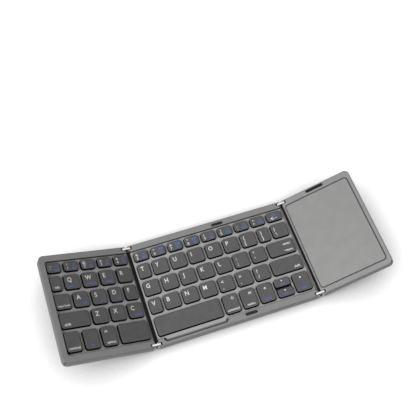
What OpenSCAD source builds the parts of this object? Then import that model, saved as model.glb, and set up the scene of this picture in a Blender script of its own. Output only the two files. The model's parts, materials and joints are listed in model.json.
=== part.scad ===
// Three-panel folding keyboard with a touchpad: a wide middle panel and two
// side panels that fold up and over onto it, side by side.
// The origin is under the centre of the outline, on the surface it stands on.
// +X runs along the keyboard, +Y to its back edge, +Z up.

/* [Panels] */
// Distance between the centres of the two folds
fold_span = 147; // [143.5:0.5:165]
// Distance from the left fold's centre to the left panel's outer edge
left_reach = 79.4; // [79:0.2:80.6]
// Gap between the two side panels' outer edges when both are folded over
meet_gap = 0.4; // [0.3:0.1:1]
// Depth of the panels, from front to back
panel_depth = 97.2; // [97:0.2:104]
// Thickness of a panel without its feet
body_t = 7.4; // [7.2:0.1:9]
// How far the feet stand out below a panel
foot_h = 0.6; // [0.3:0.1:1.2]
// Thickness of the bottom covers' floors
floor_t = 1; // [0.7:0.1:1.2]
// Thickness of the side walls
wall_t = 1.6; // [1.3:0.1:1.8]
// Height of a bottom cover's wall, from its underside to the seam
seam_h = 1.8; // [1.6:0.1:2.2]
// Radius of the outer corners
corner_r = 4.5; // [3:0.5:6]
// Chamfer on the upper edges
top_chamfer = 0.5; // [0.3:0.1:0.7]
// Chamfer on the lower edges
base_chamfer = 0.9; // [0.5:0.1:1]

/* [Rims] */
// Depth of the key deck below the rim
deck_drop = 2.2; // [1.8:0.1:2.4]
// Thickness of the key deck
deck_t = 1; // [0.8:0.1:1.2]
// Width of the back rim
back_rim = 6.2; // [5.4:0.1:7]
// Width of the front rim
front_rim = 6.3; // [6:0.1:7]
// Width of the left panel's outer rim
side_rim = 4.6; // [4:0.1:6]
// How far the key deck is tucked under the rims
deck_tuck = 1.2; // [0.8:0.1:1.4]
// Radius of the inner corners of the rims
well_r = 2; // [1:0.5:3]

/* [Folds] */
// Fold angle of the left panel at rest, above flat
left_tilt = 21.5; // [0:0.5:60]
// Fold angle of the right panel at rest, above flat
right_tilt = 21.5; // [0:0.5:60]
// Half of the gap between two panels that lie flat
edge_gap = 1.2; // [1.1:0.05:1.4]
// How far the middle panel's edge stands back between the links of a fold
fold_setback = 1.4; // [1:0.1:1.5]
// Distance between a link's two pins
pin_span = 5.2; // [5.1:0.1:5.8]
// Depth of the pins below the rim
pin_drop = 2.2; // [2:0.1:2.3]
// Radius of a hinge pin
pin_r = 0.6; // [0.5:0.05:0.7]
// Running clearance between a pin and its link
pin_play = 0.05; // [0.03:0.01:0.08]
// Radius of a link's end round its pin
link_end_r = 1.3; // [1.2:0.05:1.4]
// Width of a link, from front to back
link_w = 2.1; // [1.8:0.1:2.4]
// Clearance between a link and its notch, on each side
link_play = 0.15; // [0.1:0.05:0.25]
// Thickness of the wall outside a link
link_wall = 1.1; // [0.9:0.1:1.4]
// Height of the spine bar
spine_h = 2.9; // [2.4:0.1:3]
// Width of the spine bar
spine_w = 1.8; // [1.4:0.1:1.8]
// Width of the ribbon cable
ribbon_w = 18; // [12:1:24]
// Thickness of the ribbon cable
ribbon_t = 0.2; // [0.15:0.05:0.3]

/* [Keys] */
// Gap between neighbouring keys of the middle panel
key_gap = 2.3; // [2:0.1:2.6]
// Gap between neighbouring keys of the left panel
left_key_gap = 2.4; // [2:0.1:2.6]
// Gap between two rows of keys
row_gap = 3.1; // [2.9:0.1:3.4]
// Depth of the number row's keys
number_key_d = 9.2; // [8.6:0.1:9.6]
// Depth of the bottom row's keys
bottom_key_d = 17.4; // [16:0.1:19]
// Distance from the back rim to the number row
back_margin = 1.8; // [1.2:0.1:2.4]
// Distance from the front rim to the bottom row
front_margin = 2.2; // [1:0.1:3.2]
// Distance from the middle panel's fold edges to its keys
middle_margin = 2.9; // [2.4:0.1:3.2]
// Distance from the left panel's fold edge to its keys
left_margin = 1.3; // [1.2:0.1:1.8]
// Distance from the left panel's outer rim to its keys
rim_margin = 0.6; // [0.5:0.1:1.2]
// Width of the escape key
escape_w = 12; // [11:0.1:13]
// Width of the tab key
tab_w = 9.2; // [8.8:0.1:10.4]
// Width of the caps lock key
caps_lock_w = 13; // [12:0.1:14]
// Width of the backspace key
backspace_w = 14.4; // [13.5:0.1:16]
// Width of the short first and last letter keys
short_key_w = 10.8; // [10:0.1:11.4]
// Width of the second row's last key
last_key_w = 14.9; // [14:0.1:17]
// Width of the middle row's first key
first_key_w = 14.2; // [13:0.1:15]
// Width of the space bar
space_w = 57.8; // [56:0.2:58.4]
// Width of the right arrow key and of the up and down arrow keys
arrow_w = 14.5; // [13.5:0.1:15.5]
// Width of the left panel's space key
left_space_w = 26.2; // [24:0.2:27]
// Gap between the up and down arrow keys
arrow_gap = 1.6; // [1.2:0.1:2.4]
// Height of a key cap
cap_h = 2.8; // [2.6:0.1:2.9]
// Thickness of a key cap's top
cap_t = 1.2; // [1:0.1:1.4]
// Thickness of a key cap's skirt
skirt_t = 0.8; // [0.6:0.1:1]
// Radius of a key cap's corners
cap_r = 2.3; // [1.5:0.1:2.6]
// Chamfer round a key cap's top
cap_chamfer = 0.25; // [0.15:0.05:0.3]
// Clearance between a key cap and its hole in the deck
cap_play = 0.3; // [0.25:0.05:0.35]
// How far a key goes down
key_travel = 1.3; // [1:0.1:1.4]

/* [Under the keys] */
// Clearance from the key deck to the membrane
dome_room = 1.6; // [1.5:0.1:1.8]
// Thickness of the membrane
membrane_t = 0.3; // [0.2:0.05:0.4]
// Thickness of the support plate
plate_t = 0.5; // [0.4:0.1:0.6]
// Radius of a rubber dome's foot
dome_foot_r = 2.6; // [2.2:0.1:2.8]
// Radius of a rubber dome's head
dome_head_r = 1.2; // [1:0.1:1.4]
// Thickness of a scissor lever
lever_t = 0.5; // [0.4:0.05:0.6]
// Clearance round the membrane and the plate
sheet_play = 0.4; // [0.3:0.05:0.6]

/* [Thumb scoop] */
// Radius of the wall of the scoop in front of the space bar
scoop_r = 2.7; // [2.6:0.1:3.1]
// Distance from the front edge to the scoop's rim
scoop_wall = 2.4; // [2.2:0.1:2.8]
// Distance from the space bar's outer end to the scoop
scoop_inset = 3.4; // [2:0.2:6]
// How far the scoop runs past the space bar's inner end
scoop_over = 2.3; // [0:0.1:4]

/* [Touchpad panel] */
// Distance from the right fold's centre to the touchpad
pad_fold_margin = 3; // [2.9:0.1:4]
// Distance from the outer edge to the touchpad
pad_side_margin = 4; // [3.6:0.1:6]
// Distance from the back edge to the touchpad
pad_back_margin = 6.8; // [6:0.1:7.4]
// Distance from the front edge to the touchpad
pad_front_margin = 5.6; // [5.3:0.1:7]
// Width of the groove round the touchpad
pad_groove = 0.5; // [0.3:0.05:0.6]
// Radius of the touchpad's corners
pad_r = 2.5; // [1.5:0.5:4]
// Thickness of the touchpad's surface
pad_t = 1; // [0.8:0.1:1.2]
// Width of the ledge that carries the touchpad
pad_ledge = 1.2; // [0.8:0.1:1.4]
// Thickness of the circuit boards
board_t = 0.8; // [0.6:0.1:0.8]
// Width of the battery
battery_w = 42; // [34:1:46]
// Depth of the battery
battery_d = 36; // [28:1:40]
// Thickness of the battery
battery_t = 2.8; // [2:0.1:3]
// Distance from the touchpad panel's outer edge to the charging port's axis
port_inset = 17.2; // [14:0.2:24]
// Width of the charging port
port_w = 8.9; // [8.9:0.1:9.2]
// Height of the charging port
port_h = 3.2; // [2.9:0.1:3.2]
// Length of the charging port
port_l = 7.3; // [6.5:0.1:8]

/* [Small parts] */
// Length of a closing bumper
bumper_l = 10.6; // [8:0.2:13]
// Width of a closing bumper
bumper_w = 2.3; // [1.8:0.1:2.4]
// Distance from the line where the side panels meet to the closing bumpers
bumper_offset = 4.6; // [3:0.2:6]
// Distance from the panel's edge to a closing bumper's centre
bumper_inset = 3.8; // [3.2:0.1:4]
// How far a closing bumper stands above the rim
bumper_proud = 0.4; // [0.1:0.05:0.45]
// How deep a closing bumper sits in the rim
bumper_sink = 0.8; // [0.5:0.1:1]
// Length of the indicator window
window_l = 16.7; // [12:0.1:20]
// Width of the indicator window
window_w = 2.6; // [1.8:0.1:2.8]
// Distance from the panel's back edge to the indicator window's centre
window_inset = 2.7; // [2.2:0.1:3]
// Radius of a rubber foot
foot_r = 4; // [3:0.2:5]
// How deep a foot sits in the bottom cover
foot_sink = 0.4; // [0.2:0.05:0.5]
// Distance from a panel's edge to its feet's centres
foot_inset = 9; // [7:0.5:12]
// Radius of a screw's shank
screw_r = 0.5; // [0.4:0.05:0.6]
// Radius of a screw's head
screw_head_r = 1.3; // [1.1:0.1:1.5]
// Height of a screw's head
screw_head_h = 0.6; // [0.4:0.05:0.7]
// Radius of the deck's screw bosses
boss_r = 1.15; // [1:0.05:1.2]

/* [Hidden] */
$fn = 48;

// Shared clearances and small walls that belong to no piece alone
eps = 0.01;
cut_over = 1;
fold_corner_r = 1.2;
fold_wall = 1.2;
block_wall = 0.9;
link_top_r = 0.8;
notch_play = 0.2;
spine_relief = 0.3;
screw_relief = 0.3;
head_relief = 0.1;
boss_play = 0.2;
lip_t = 0.8;
lip_h = 0.7;
lip_play = 0.1;
lip_end = 3.2;
screw_inset = 23.5;
left_screw_inset = 19.9;
right_screw_run = 8;
right_screw_room = 1.6;
lever_bar = 0.5;
lever_play = 0.5;
lever_gap = 0.15;
lever_reach = 5.5;
dome_wall = 0.5;
rib_t = 0.8;
post_r = 1.9;
hole_play = 0.15;
pin_grip = 0.7;
ribbon_play = 0.25;
ribbon_end = 7;
board_play = 0.3;
port_room = 1;
board_depth = 27.3;
ribbon_margin = 2;
battery_gap = 4;
battery_r = 1;

// Levels, measured down from the rims
half_span = fold_span / 2;
half_depth = panel_depth / 2;
right_reach = fold_span - left_reach - meet_gap;
rim_z = body_t + foot_h;
seam_z = seam_h - body_t;
floor_z = floor_t - body_t;
deck_z = -deck_drop - deck_t;
membrane_z = deck_z - dome_room;
plate_top_z = membrane_z - membrane_t;
plate_z = plate_top_z - plate_t;
board_z = floor_z + board_t;
screw_top_z = deck_z - screw_relief;

// Ends of the three panels along X while they lie flat
middle_x = [-half_span + edge_gap, half_span - edge_gap];
middle_edge_x = [middle_x[0] + fold_setback, middle_x[1] - fold_setback];
left_x = [-half_span - left_reach, -half_span - edge_gap];
right_x = [half_span + edge_gap, half_span + right_reach];

// Links, their notches and the blocks that hold their pins
pin_x = pin_span / 2;
notch_r = norm([link_end_r - link_top_r, pin_drop - link_top_r]) + link_top_r + notch_play;
notch_depth = pin_drop + link_end_r + link_play;
link_y = half_depth - link_wall - link_play - link_w / 2;
block_y = link_y - link_w / 2 - link_play - block_wall;
block_x = pin_x + notch_r + block_wall;

// The wells that hold the keys
well_y = [-half_depth + front_rim, half_depth - back_rim];
deck_y = [well_y[0] - deck_tuck, well_y[1] + deck_tuck];
left_well_x = left_x[0] + side_rim;
sheet_y = [well_y[0] + sheet_play, block_y - sheet_play - block_wall];

// The size of each of n equal keys that share a room with keys of other sizes
function sum(v, i = 0) = i < len(v) ? v[i] + sum(v, i + 1) : 0;
function share(room, others, gap, n) = (room - sum(others) - (len(others) + n - 1) * gap) / n;

// Key rows from the back to the front: depths and back edges
key_back = well_y[1] - back_margin;
key_depth = key_back - well_y[0] - front_margin;
letter_key_d = share(key_depth, [number_key_d, bottom_key_d], row_gap, 3);
row_d = [number_key_d, letter_key_d, letter_key_d, letter_key_d, bottom_key_d];
function row_back(row) = key_back - (row == 0 ? 0 : sum([for (i = [0:row - 1]) row_d[i] + row_gap]));
function gap_y(row) = row_back(row) - row_d[row] - row_gap / 2;

// Key widths of each row; the panel's own width sets the key that isn't listed
middle_start = middle_x[0] + middle_margin;
middle_end = middle_x[1] - middle_margin;
middle_room = middle_end - middle_start;
number_key_w = share(middle_room, [backspace_w], key_gap, 8);
letter_key_w = share(middle_room, [short_key_w, short_key_w, last_key_w], key_gap, 6);
bottom_key_w = share(middle_room, [space_w, arrow_w, arrow_w], key_gap, 3);
middle_widths = [
    [for (i = [0:7]) number_key_w],
    concat(short_key_w, [for (i = [0:5]) letter_key_w], short_key_w),
    concat(first_key_w, [for (i = [0:5]) letter_key_w]),
    concat(short_key_w, [for (i = [0:5]) letter_key_w]),
    concat(space_w, [for (i = [0:2]) bottom_key_w], arrow_w)
];
left_end = left_x[1] - left_margin;
left_start = left_well_x + rim_margin;
left_room = left_end - left_start;
left_number_key_w = share(left_room, [escape_w], left_key_gap, 4);
left_letter_key_w = share(left_room, [tab_w], left_key_gap, 4);
wide_keys = [caps_lock_w, left_letter_key_w, left_letter_key_w];
narrow_key_w = share(left_room, wide_keys, left_key_gap, 2);
modifier_key_w = share(left_room, [left_space_w], left_key_gap, 3);
left_widths = [
    [for (i = [0:3]) left_number_key_w],
    [for (i = [0:3]) left_letter_key_w],
    [left_letter_key_w, left_letter_key_w, narrow_key_w, narrow_key_w],
    [for (i = [0:2]) left_letter_key_w],
    [modifier_key_w, modifier_key_w, left_space_w]
];

// A key is [left edge, width, row]; the first or last key of a row fills what is left
function middle_key(row, i) = let (
        widths = middle_widths[row],
        x = middle_start + i * key_gap + sum([for (k = [0:1:i - 1]) widths[k]]),
        w = i < len(widths) ? widths[i] : middle_end - x
    ) [x, w, row];
function left_key(row, i) = let (
        widths = left_widths[row],
        after = sum([for (k = [i:1:len(widths) - 1]) widths[k] + left_key_gap]),
        right = left_end - after,
        w = i > 0 ? widths[i - 1] : right - left_start
    ) [right - w, w, row];
function middle_keys(row) = [for (i = [0:len(middle_widths[row])]) middle_key(row, i)];
function left_keys(row) = [for (i = [0:len(left_widths[row])]) left_key(row, i)];
function pick(keys, first, last) = [for (i = [first:last]) keys[i]];

// A key's box is [left, front, width, depth]; the up and down arrows share one place
ARROW_ROW = 4;
UP_ARROW = 4;
half_arrow_d = (bottom_key_d - arrow_gap) / 2;
function key_box(k) = [k[0], row_back(k[2]) - row_d[k[2]], k[1], row_d[k[2]]];
arrow_place = key_box(middle_key(ARROW_ROW, UP_ARROW));
up_arrow_box = [arrow_place[0], arrow_place[1] + half_arrow_d + arrow_gap, arrow_place[2], half_arrow_d];
down_arrow_box = [arrow_place[0], arrow_place[1], arrow_place[2], half_arrow_d];
middle_holes = [for (row = [0:4]) for (k = middle_keys(row)) key_box(k)];
middle_boxes = concat(
    [for (k = middle_holes) if (k != arrow_place) k],
    [up_arrow_box, down_arrow_box]
);
left_boxes = [for (row = [0:4]) for (k = left_keys(row)) key_box(k)];

// Screws, in the gaps between the key rows and at the corners of the touchpad panel
screw_rows = [gap_y(1), gap_y(3)];
middle_screw_x = half_span - screw_inset;
left_screw_x = [-half_span - left_reach + left_screw_inset, -half_span - left_screw_inset];
middle_screw_at = [for (x = [-middle_screw_x, 0, middle_screw_x]) for (y = screw_rows) [x, y]];
left_screw_at = [for (x = left_screw_x) for (y = screw_rows) [x, y]];
right_boss_inset = wall_t + boss_r + right_screw_room;
right_screw_at = [for (x = [right_x[0] + block_x + right_screw_run, right_x[1] - right_boss_inset])
    for (y = [-1, 1]) [x, y * (half_depth - right_boss_inset)]];

// Feet near the four corners of a panel
foot_y = half_depth - foot_inset;
function feet_at(x) = [for (at = [x[0] + foot_inset, x[1] - foot_inset]) for (y = [-foot_y, foot_y]) [at, y]];

// Touchpad and what lies under it
pad_x = [half_span + pad_fold_margin, right_x[1] - pad_side_margin];
pad_y = [-half_depth + pad_front_margin, half_depth - pad_back_margin];
port_at = right_x[1] - port_inset;
board_x = [right_x[0] + fold_wall + ribbon_end, port_at + port_w / 2 + port_room];
board_back = half_depth - wall_t - lip_play - lip_t - board_play;
board_y = [board_back - board_depth, board_back];
ribbon_y = board_y[0] + ribbon_w / 2 + ribbon_margin;
battery_x = (right_x[0] + right_x[1]) / 2;
battery_y = board_y[0] - battery_d / 2 - battery_gap;

// Rest pose: how far the folded panels' outer lower corners reach out
function turned(p, pivot, angle) = pivot + [
    (p[0] - pivot[0]) * cos(angle) - (p[1] - pivot[1]) * sin(angle),
    (p[0] - pivot[0]) * sin(angle) + (p[1] - pivot[1]) * cos(angle)
];
function folded(p, angle) = turned(turned(p, [pin_x, -pin_drop], angle / 2), [-pin_x, -pin_drop], angle / 2);
lower_edge_z = base_chamfer - body_t;
left_out = half_span + folded([left_reach, lower_edge_z], left_tilt)[0];
right_out = half_span + folded([right_reach, lower_edge_z], right_tilt)[0];
x_shift = (left_out - right_out) / 2;

// ---- placing ----

// The middle panel and everything that stays with it
module in_middle() {
    translate([x_shift, 0, rim_z]) children();
}

// A link turned about its inner pin; side is -1 for the left fold, 1 for the right
module in_link(side, tilt) {
    in_middle()
        translate([side * (half_span - pin_x), 0, -pin_drop])
            rotate([0, -side * tilt / 2, 0])
                translate([-side * (half_span - pin_x), 0, pin_drop]) children();
}

// A side panel turned about its own pin on the link
module in_side(side, tilt) {
    in_link(side, tilt)
        translate([side * (half_span + pin_x), 0, -pin_drop])
            rotate([0, -side * tilt / 2, 0])
                translate([-side * (half_span + pin_x), 0, pin_drop]) children();
}

module in_left_link() {
    in_link(-1, left_tilt) children();
}

module in_right_link() {
    in_link(1, right_tilt) children();
}

module in_left() {
    in_side(-1, left_tilt) children();
}

module in_right() {
    in_side(1, right_tilt) children();
}

// ---- shared shapes ----

// A box between two corners given as ranges
module box(x, y, z) {
    translate([x[0], y[0], z[0]]) cube([x[1] - x[0], y[1] - y[0], z[1] - z[0]]);
}

// A rectangle with round corners
module round_rect(x, y, r) {
    translate([x[0] + r, y[0]]) square([x[1] - x[0] - 2 * r, y[1] - y[0]]);
    translate([x[0], y[0] + r]) square([x[1] - x[0], y[1] - y[0] - 2 * r]);
    for (cx = [x[0] + r, x[1] - r]) for (cy = [y[0] + r, y[1] - r]) translate([cx, cy]) circle(r);
}

// An upright block with round corners
module round_block(x, y, z, r) {
    translate([0, 0, z[0]]) linear_extrude(z[1] - z[0]) round_rect(x, y, r);
}

// The section of a block from one side to the other; 0 leaves an edge square
function section(x, z, top, base) = concat(
    base > 0 ? [[x[0], z[0] + base]] : [],
    [[x[0] + base, z[0]], [x[1] - base, z[0]]],
    base > 0 ? [[x[1], z[0] + base]] : [],
    top > 0 ? [[x[1], z[1] - top]] : [],
    [[x[1] - top, z[1]], [x[0] + top, z[1]]],
    top > 0 ? [[x[0], z[1] - top]] : []
);

// Half of that section, from a corner's axis to its side
function corner_section(r, z, top, base) = concat(
    [[0, z[0]], [r - base, z[0]]],
    base > 0 ? [[r, z[0] + base]] : [],
    top > 0 ? [[r, z[1] - top]] : [],
    [[r - top, z[1]], [0, z[1]]]
);

// A block with round corners and bevelled upper and lower edges
module bevelled_block(x, y, z, r, top, base) {
    translate([x[0] + r, 0, 0]) rotate([90, 0, 90]) linear_extrude(x[1] - x[0] - 2 * r)
        polygon(section(y, z, top, base));
    translate([0, y[1] - r, 0]) rotate([90, 0, 0]) linear_extrude(y[1] - y[0] - 2 * r)
        polygon(section(x, z, top, base));
    for (cx = [x[0] + r, x[1] - r]) for (cy = [y[0] + r, y[1] - r])
        translate([cx, cy, 0]) rotate_extrude() polygon(corner_section(r, z, top, base));
}

// The outside of a panel between two levels, with wide corners only at its outer end
module panel_block(x, z, top, base, inset = 0) {
    y = [-half_depth + inset, half_depth - inset];
    near = fold_corner_r;
    far = corner_r - inset;
    middle = (x[0] + x[1]) / 2;
    if (x == middle_x) bevelled_block(x, y, z, near, top, base);
    if (x[1] < middle_x[0]) {
        bevelled_block([x[0], middle + far], y, z, far, top, base);
        bevelled_block([middle - far, x[1]], y, z, near, top, base);
    }
    if (x[0] > middle_x[1]) {
        bevelled_block([middle - far, x[1]], y, z, far, top, base);
        bevelled_block([x[0], middle + far], y, z, near, top, base);
    }
}

// The hollow under a frame: the first range runs past the hinge blocks, the second between them
module frame_hollow(x, x_between, top_z) {
    z = [seam_z - eps, top_z];
    round_block(x, [-block_y, block_y], z, fold_wall);
    round_block(x_between, [-half_depth + wall_t, half_depth - wall_t], z, corner_r - wall_t);
}

// The strips cut off the middle panel's ends between the hinge blocks
module setbacks() {
    for (x = [[middle_x[0] - cut_over, middle_edge_x[0]], [middle_edge_x[1], middle_x[1] + cut_over]])
        box(x, [-block_y, block_y], [-body_t - cut_over, cut_over]);
}

// The notches for a fold's two links, cut through both panels
module notches(side) {
    reach = pin_x + notch_r;
    for (y = [-link_y, link_y])
        box([side * half_span - reach, side * half_span + reach],
            [y - link_w / 2 - link_play, y + link_w / 2 + link_play], [-notch_depth, cut_over]);
}

// A fold's two pins on one panel, or the holes that hold them
module pins(x) {
    inner = link_w / 2 + link_play + block_wall;
    outer = link_w / 2 + link_play + pin_grip;
    for (side = [-1, 1])
        translate([x, side * (link_y - inner), -pin_drop])
            rotate([-side * 90, 0, 0]) cylinder(h = inner + outer, r = pin_r);
}

// The slot for a ribbon cable through a fold's walls
module ribbon_slot(side) {
    reach = edge_gap + fold_setback + fold_wall + eps;
    half_w = ribbon_w / 2 + ribbon_play;
    box([side * half_span - reach, side * half_span + reach], [ribbon_y - half_w, ribbon_y + half_w],
        [plate_z - ribbon_t - ribbon_play, plate_z + ribbon_play]);
}

// A flat piece with round ends that lies along X
module pill(x, y, z, l, w) {
    round_block([x - l / 2, x + l / 2], [y - w / 2, y + w / 2], z, w / 2 - eps);
}

// Blind screw holes, up into the bosses of a deck or frame
module screw_holes(at) {
    for (p = at) translate([p[0], p[1], plate_z - eps])
        cylinder(h = screw_top_z - plate_z + eps, r = screw_r);
}

// Screws with sunk flat heads
module screws(at) {
    head_z = -body_t + head_relief;
    for (p = at) translate([p[0], p[1], head_z]) {
        cylinder(h = screw_head_h, r = screw_head_r);
        cylinder(h = screw_top_z - head_z, r = screw_r);
    }
}

// Rubber feet between two levels, or the recesses that hold them
module foot_pads(at, z) {
    for (p = at) translate([p[0], p[1], z[0]]) cylinder(h = z[1] - z[0], r = foot_r);
}

// A tray with a floor, walls, a lip inside the seam, ribs and screw posts
module bottom_cover(x, x_inside, x_between, lips, ribs, screw_at, foot_at) {
    wall = wall_t + lip_play + lip_t;
    lip_z = [seam_z - eps, seam_z + lip_h];
    lip_x = [x_between[0] + lip_end, x_between[1] - lip_end];
    lip_y = half_depth - wall + lip_t / 2;
    difference() {
        union() {
            difference() {
                panel_block(x, [-body_t, seam_z], 0, base_chamfer);
                round_block(x_inside, [-half_depth + wall, half_depth - wall], [floor_z, 0], fold_wall);
            }
            for (y = [-lip_y, lip_y]) box(lip_x, [y - lip_t / 2, y + lip_t / 2], lip_z);
            for (lip = lips)
                box([lip, lip + lip_t], [-half_depth / 2, half_depth / 2], [floor_z - eps, lip_z[1]]);
            for (rib = ribs) box(rib[0], [rib[1] - rib_t / 2, rib[1] + rib_t / 2], [floor_z - eps, plate_z]);
            for (p = screw_at) translate([p[0], p[1], floor_z - eps])
                cylinder(h = plate_z - floor_z + eps, r = post_r);
        }
        for (p = screw_at) translate([p[0], p[1], -body_t - eps]) {
            cylinder(h = plate_z + body_t + cut_over, r = screw_r + hole_play);
            cylinder(h = screw_head_h + head_relief + eps, r = screw_head_r + hole_play);
        }
        foot_pads(foot_at, [-body_t - eps, -body_t + foot_sink]);
        children();
    }
}

// The key deck: a plate with a hole for each key and bosses for the screws
module key_deck(x, holes, screw_at) {
    difference() {
        union() {
            translate([0, 0, deck_z]) linear_extrude(deck_t) difference() {
                translate([x[0], deck_y[0]]) square([x[1] - x[0], deck_y[1] - deck_y[0]]);
                for (k = holes)
                    round_rect([k[0] - cap_play, k[0] + k[2] + cap_play],
                        [k[1] - cap_play, k[1] + k[3] + cap_play], cap_r + cap_play);
            }
            for (p = screw_at) translate([p[0], p[1], plate_top_z])
                cylinder(h = deck_z - plate_top_z + eps, r = boss_r);
        }
        screw_holes(screw_at);
    }
}

// A thin sheet under the keys with round holes at the screws
module sheet(x, z, screw_at, hole_r) {
    translate([0, 0, z[0]]) linear_extrude(z[1] - z[0]) difference() {
        translate([x[0], sheet_y[0]]) square([x[1] - x[0], sheet_y[1] - sheet_y[0]]);
        for (p = screw_at) translate(p) circle(hole_r);
    }
}

module support_plate(x, screw_at) {
    sheet(x, [plate_z, plate_top_z], screw_at, screw_r + hole_play);
}

module membrane(x, screw_at) {
    sheet(x, [plate_top_z, membrane_z], screw_at, boss_r + boss_play);
}

// How far a key's lever frames reach from its centre along X and Y
function lever_half(k) = [
    min(k[2] / 2 - skirt_t - lever_play, lever_reach),
    min(k[3] / 2 - skirt_t - lever_play, lever_reach)
];

// A rubber dome under each key, hollow below
module domes(keys) {
    h = -cap_t - membrane_z;
    for (k = keys) {
        room = [for (half = lever_half(k)) half - 2 * lever_bar - 2 * lever_gap];
        foot = min(dome_foot_r, room[0], room[1]);
        head = min(dome_head_r, foot - lever_gap);
        translate([k[0] + k[2] / 2, k[1] + k[3] / 2, membrane_z]) rotate_extrude()
            polygon([[foot - dome_wall, 0], [foot, 0], [head, h], [0, h], [0, h / 2], [head / 2, h / 2]]);
    }
}

// A flat lever frame with a window, as a plate about its own centre
module lever_frame(half_l, half_w) {
    linear_extrude(lever_t, center = true) difference() {
        square([2 * half_l, 2 * half_w], center = true);
        square([2 * (half_l - lever_bar), 2 * (half_w - lever_bar)], center = true);
    }
}

// Two crossed lever frames under each key, from the membrane to the cap
module levers(keys) {
    room = -cap_t - membrane_z;
    for (k = keys) {
        half = lever_half(k);
        slope = asin((room - lever_t) / (2 * half[0]));
        translate([k[0] + k[2] / 2, k[1] + k[3] / 2, membrane_z + room / 2]) {
            rotate([0, slope, 0]) lever_frame(half[0], half[1]);
            rotate([0, -slope, 0]) lever_frame(half[0], half[1] - lever_bar - lever_gap);
        }
    }
}

// Key caps with bevelled tops, hollow below
module caps(keys) {
    for (k = keys) {
        x = [k[0], k[0] + k[2]];
        y = [k[1], k[1] + k[3]];
        difference() {
            bevelled_block(x, y, [-cap_h, 0], cap_r, cap_chamfer, 0);
            round_block([x[0] + skirt_t, x[1] - skirt_t], [y[0] + skirt_t, y[1] - skirt_t],
                [-cap_h - eps, -cap_t], cap_r - skirt_t);
        }
    }
}

// A fold's two links; u runs across the fold from its centre
module links(side) {
    end_x = pin_x + link_end_r;
    top_x = end_x - link_top_r;
    for (y = [-link_y, link_y])
        translate([side * half_span, y + link_w / 2, 0]) rotate([90, 0, 0])
            linear_extrude(link_w) difference() {
                union() {
                    for (u = [-pin_x, pin_x]) translate([u, -pin_drop]) circle(link_end_r);
                    translate([-pin_x, -pin_drop - link_end_r]) square([2 * pin_x, pin_drop + link_end_r]);
                    translate([-end_x, -pin_drop]) square([2 * end_x, pin_drop - link_top_r]);
                    for (u = [-top_x, top_x]) translate([u, -link_top_r]) circle(link_top_r);
                    translate([-top_x, -link_top_r]) square([2 * top_x, link_top_r]);
                }
                for (u = [-pin_x, pin_x]) translate([u, -pin_drop]) circle(pin_r + pin_play);
            }
}

// A fold's spine bar, raised at its ends to carry the links and wider between the hinge blocks
module spine(side) {
    x = [side * half_span - spine_w / 2, side * half_span + spine_w / 2];
    wide_x = side < 0 ? [x[0], x[1] + fold_setback] : [x[0] - fold_setback, x[1]];
    wide_y = block_y - spine_relief;
    seat_z = -pin_drop - link_end_r;
    top_z = seat_z - spine_relief;
    out = link_y + link_w / 2;
    difference() {
        union() {
            box(x, [-out, out], [top_z - spine_h, top_z]);
            box(wide_x, [-wide_y, wide_y], [top_z - spine_h, top_z]);
            for (y = [-link_y, link_y]) box(x, [y - link_w / 2, y + link_w / 2], [top_z - eps, seat_z]);
        }
        ribbon_slot(side);
    }
}

// A flat cable that bends through a fold at rest, from one panel's circuit to the next
module ribbon(side, tilt) {
    z = plate_z - ribbon_t;
    near = edge_gap + fold_wall;
    pivot = [-pin_x, -pin_drop];
    function run(z) = [
        [-near - ribbon_end, z],
        [-near, z],
        turned([0, z], pivot, tilt / 2),
        folded([near, z], tilt),
        folded([near + ribbon_end, z], tilt)
    ];
    low = run(z);
    high = run(z + ribbon_t);
    translate([side * half_span, ribbon_y + ribbon_w / 2, 0]) mirror([side < 0 ? 1 : 0, 0, 0])
        rotate([90, 0, 0]) linear_extrude(ribbon_w) polygon(concat(low, [for (i = [4:-1:0]) high[i]]));
}

// ---- middle panel ----

frame_color = [0.52, 0.52, 0.52];
deck_color = [0.6, 0.6, 0.6];
cap_color = [0.34, 0.34, 0.34];
dark_color = [0.06, 0.06, 0.06];
middle_between = [middle_x[0] + block_x - edge_gap, middle_x[1] - block_x + edge_gap];
meeting_x = -half_span + left_reach + meet_gap / 2;
bumper_y = half_depth - bumper_inset;
middle_feet_at = feet_at(middle_x);
middle_inside = [middle_edge_x[0] + fold_wall, middle_edge_x[1] - fold_wall];
middle_sheet_x = [middle_inside[0] + sheet_play, middle_inside[1] - sheet_play];
middle_rib_x = [middle_inside[0] + 2 * ribbon_end, middle_inside[1] - 2 * ribbon_end];
space_box = key_box(middle_key(4, 0));

// The scoop in front of the space bar: a round wall, a flat floor and tapered ends
module thumb_scoop() {
    depth = deck_drop + eps;
    rise = scoop_r - depth;
    reach = sqrt(scoop_r * scoop_r - rise * rise);
    x = [space_box[0] + scoop_inset, space_box[0] + space_box[2] + scoop_over];
    run = x[1] - x[0] - 2 * depth;
    axis_y = -half_depth + scoop_wall + reach;
    translate([x[0] + depth, axis_y, rise]) rotate([0, 90, 0]) {
        cylinder(h = run, r = scoop_r);
        translate([0, 0, -depth]) cylinder(h = depth, r1 = rise, r2 = scoop_r);
        translate([0, 0, run]) cylinder(h = depth, r1 = scoop_r, r2 = rise);
    }
    translate([0, well_y[0] + eps, 0]) rotate([90, 0, 0]) linear_extrude(well_y[0] + eps - axis_y)
        polygon([
            [x[0] - cut_over, cut_over], [x[0] + depth, -depth],
            [x[1] - depth, -depth], [x[1] + cut_over, cut_over]
        ]);
}

// The closing bumpers between two levels, or the pockets that hold them
module bumper_pads(z) {
    for (y = [-bumper_y, bumper_y]) pill(meeting_x + bumper_offset, y, z, bumper_l, bumper_w);
}

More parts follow.
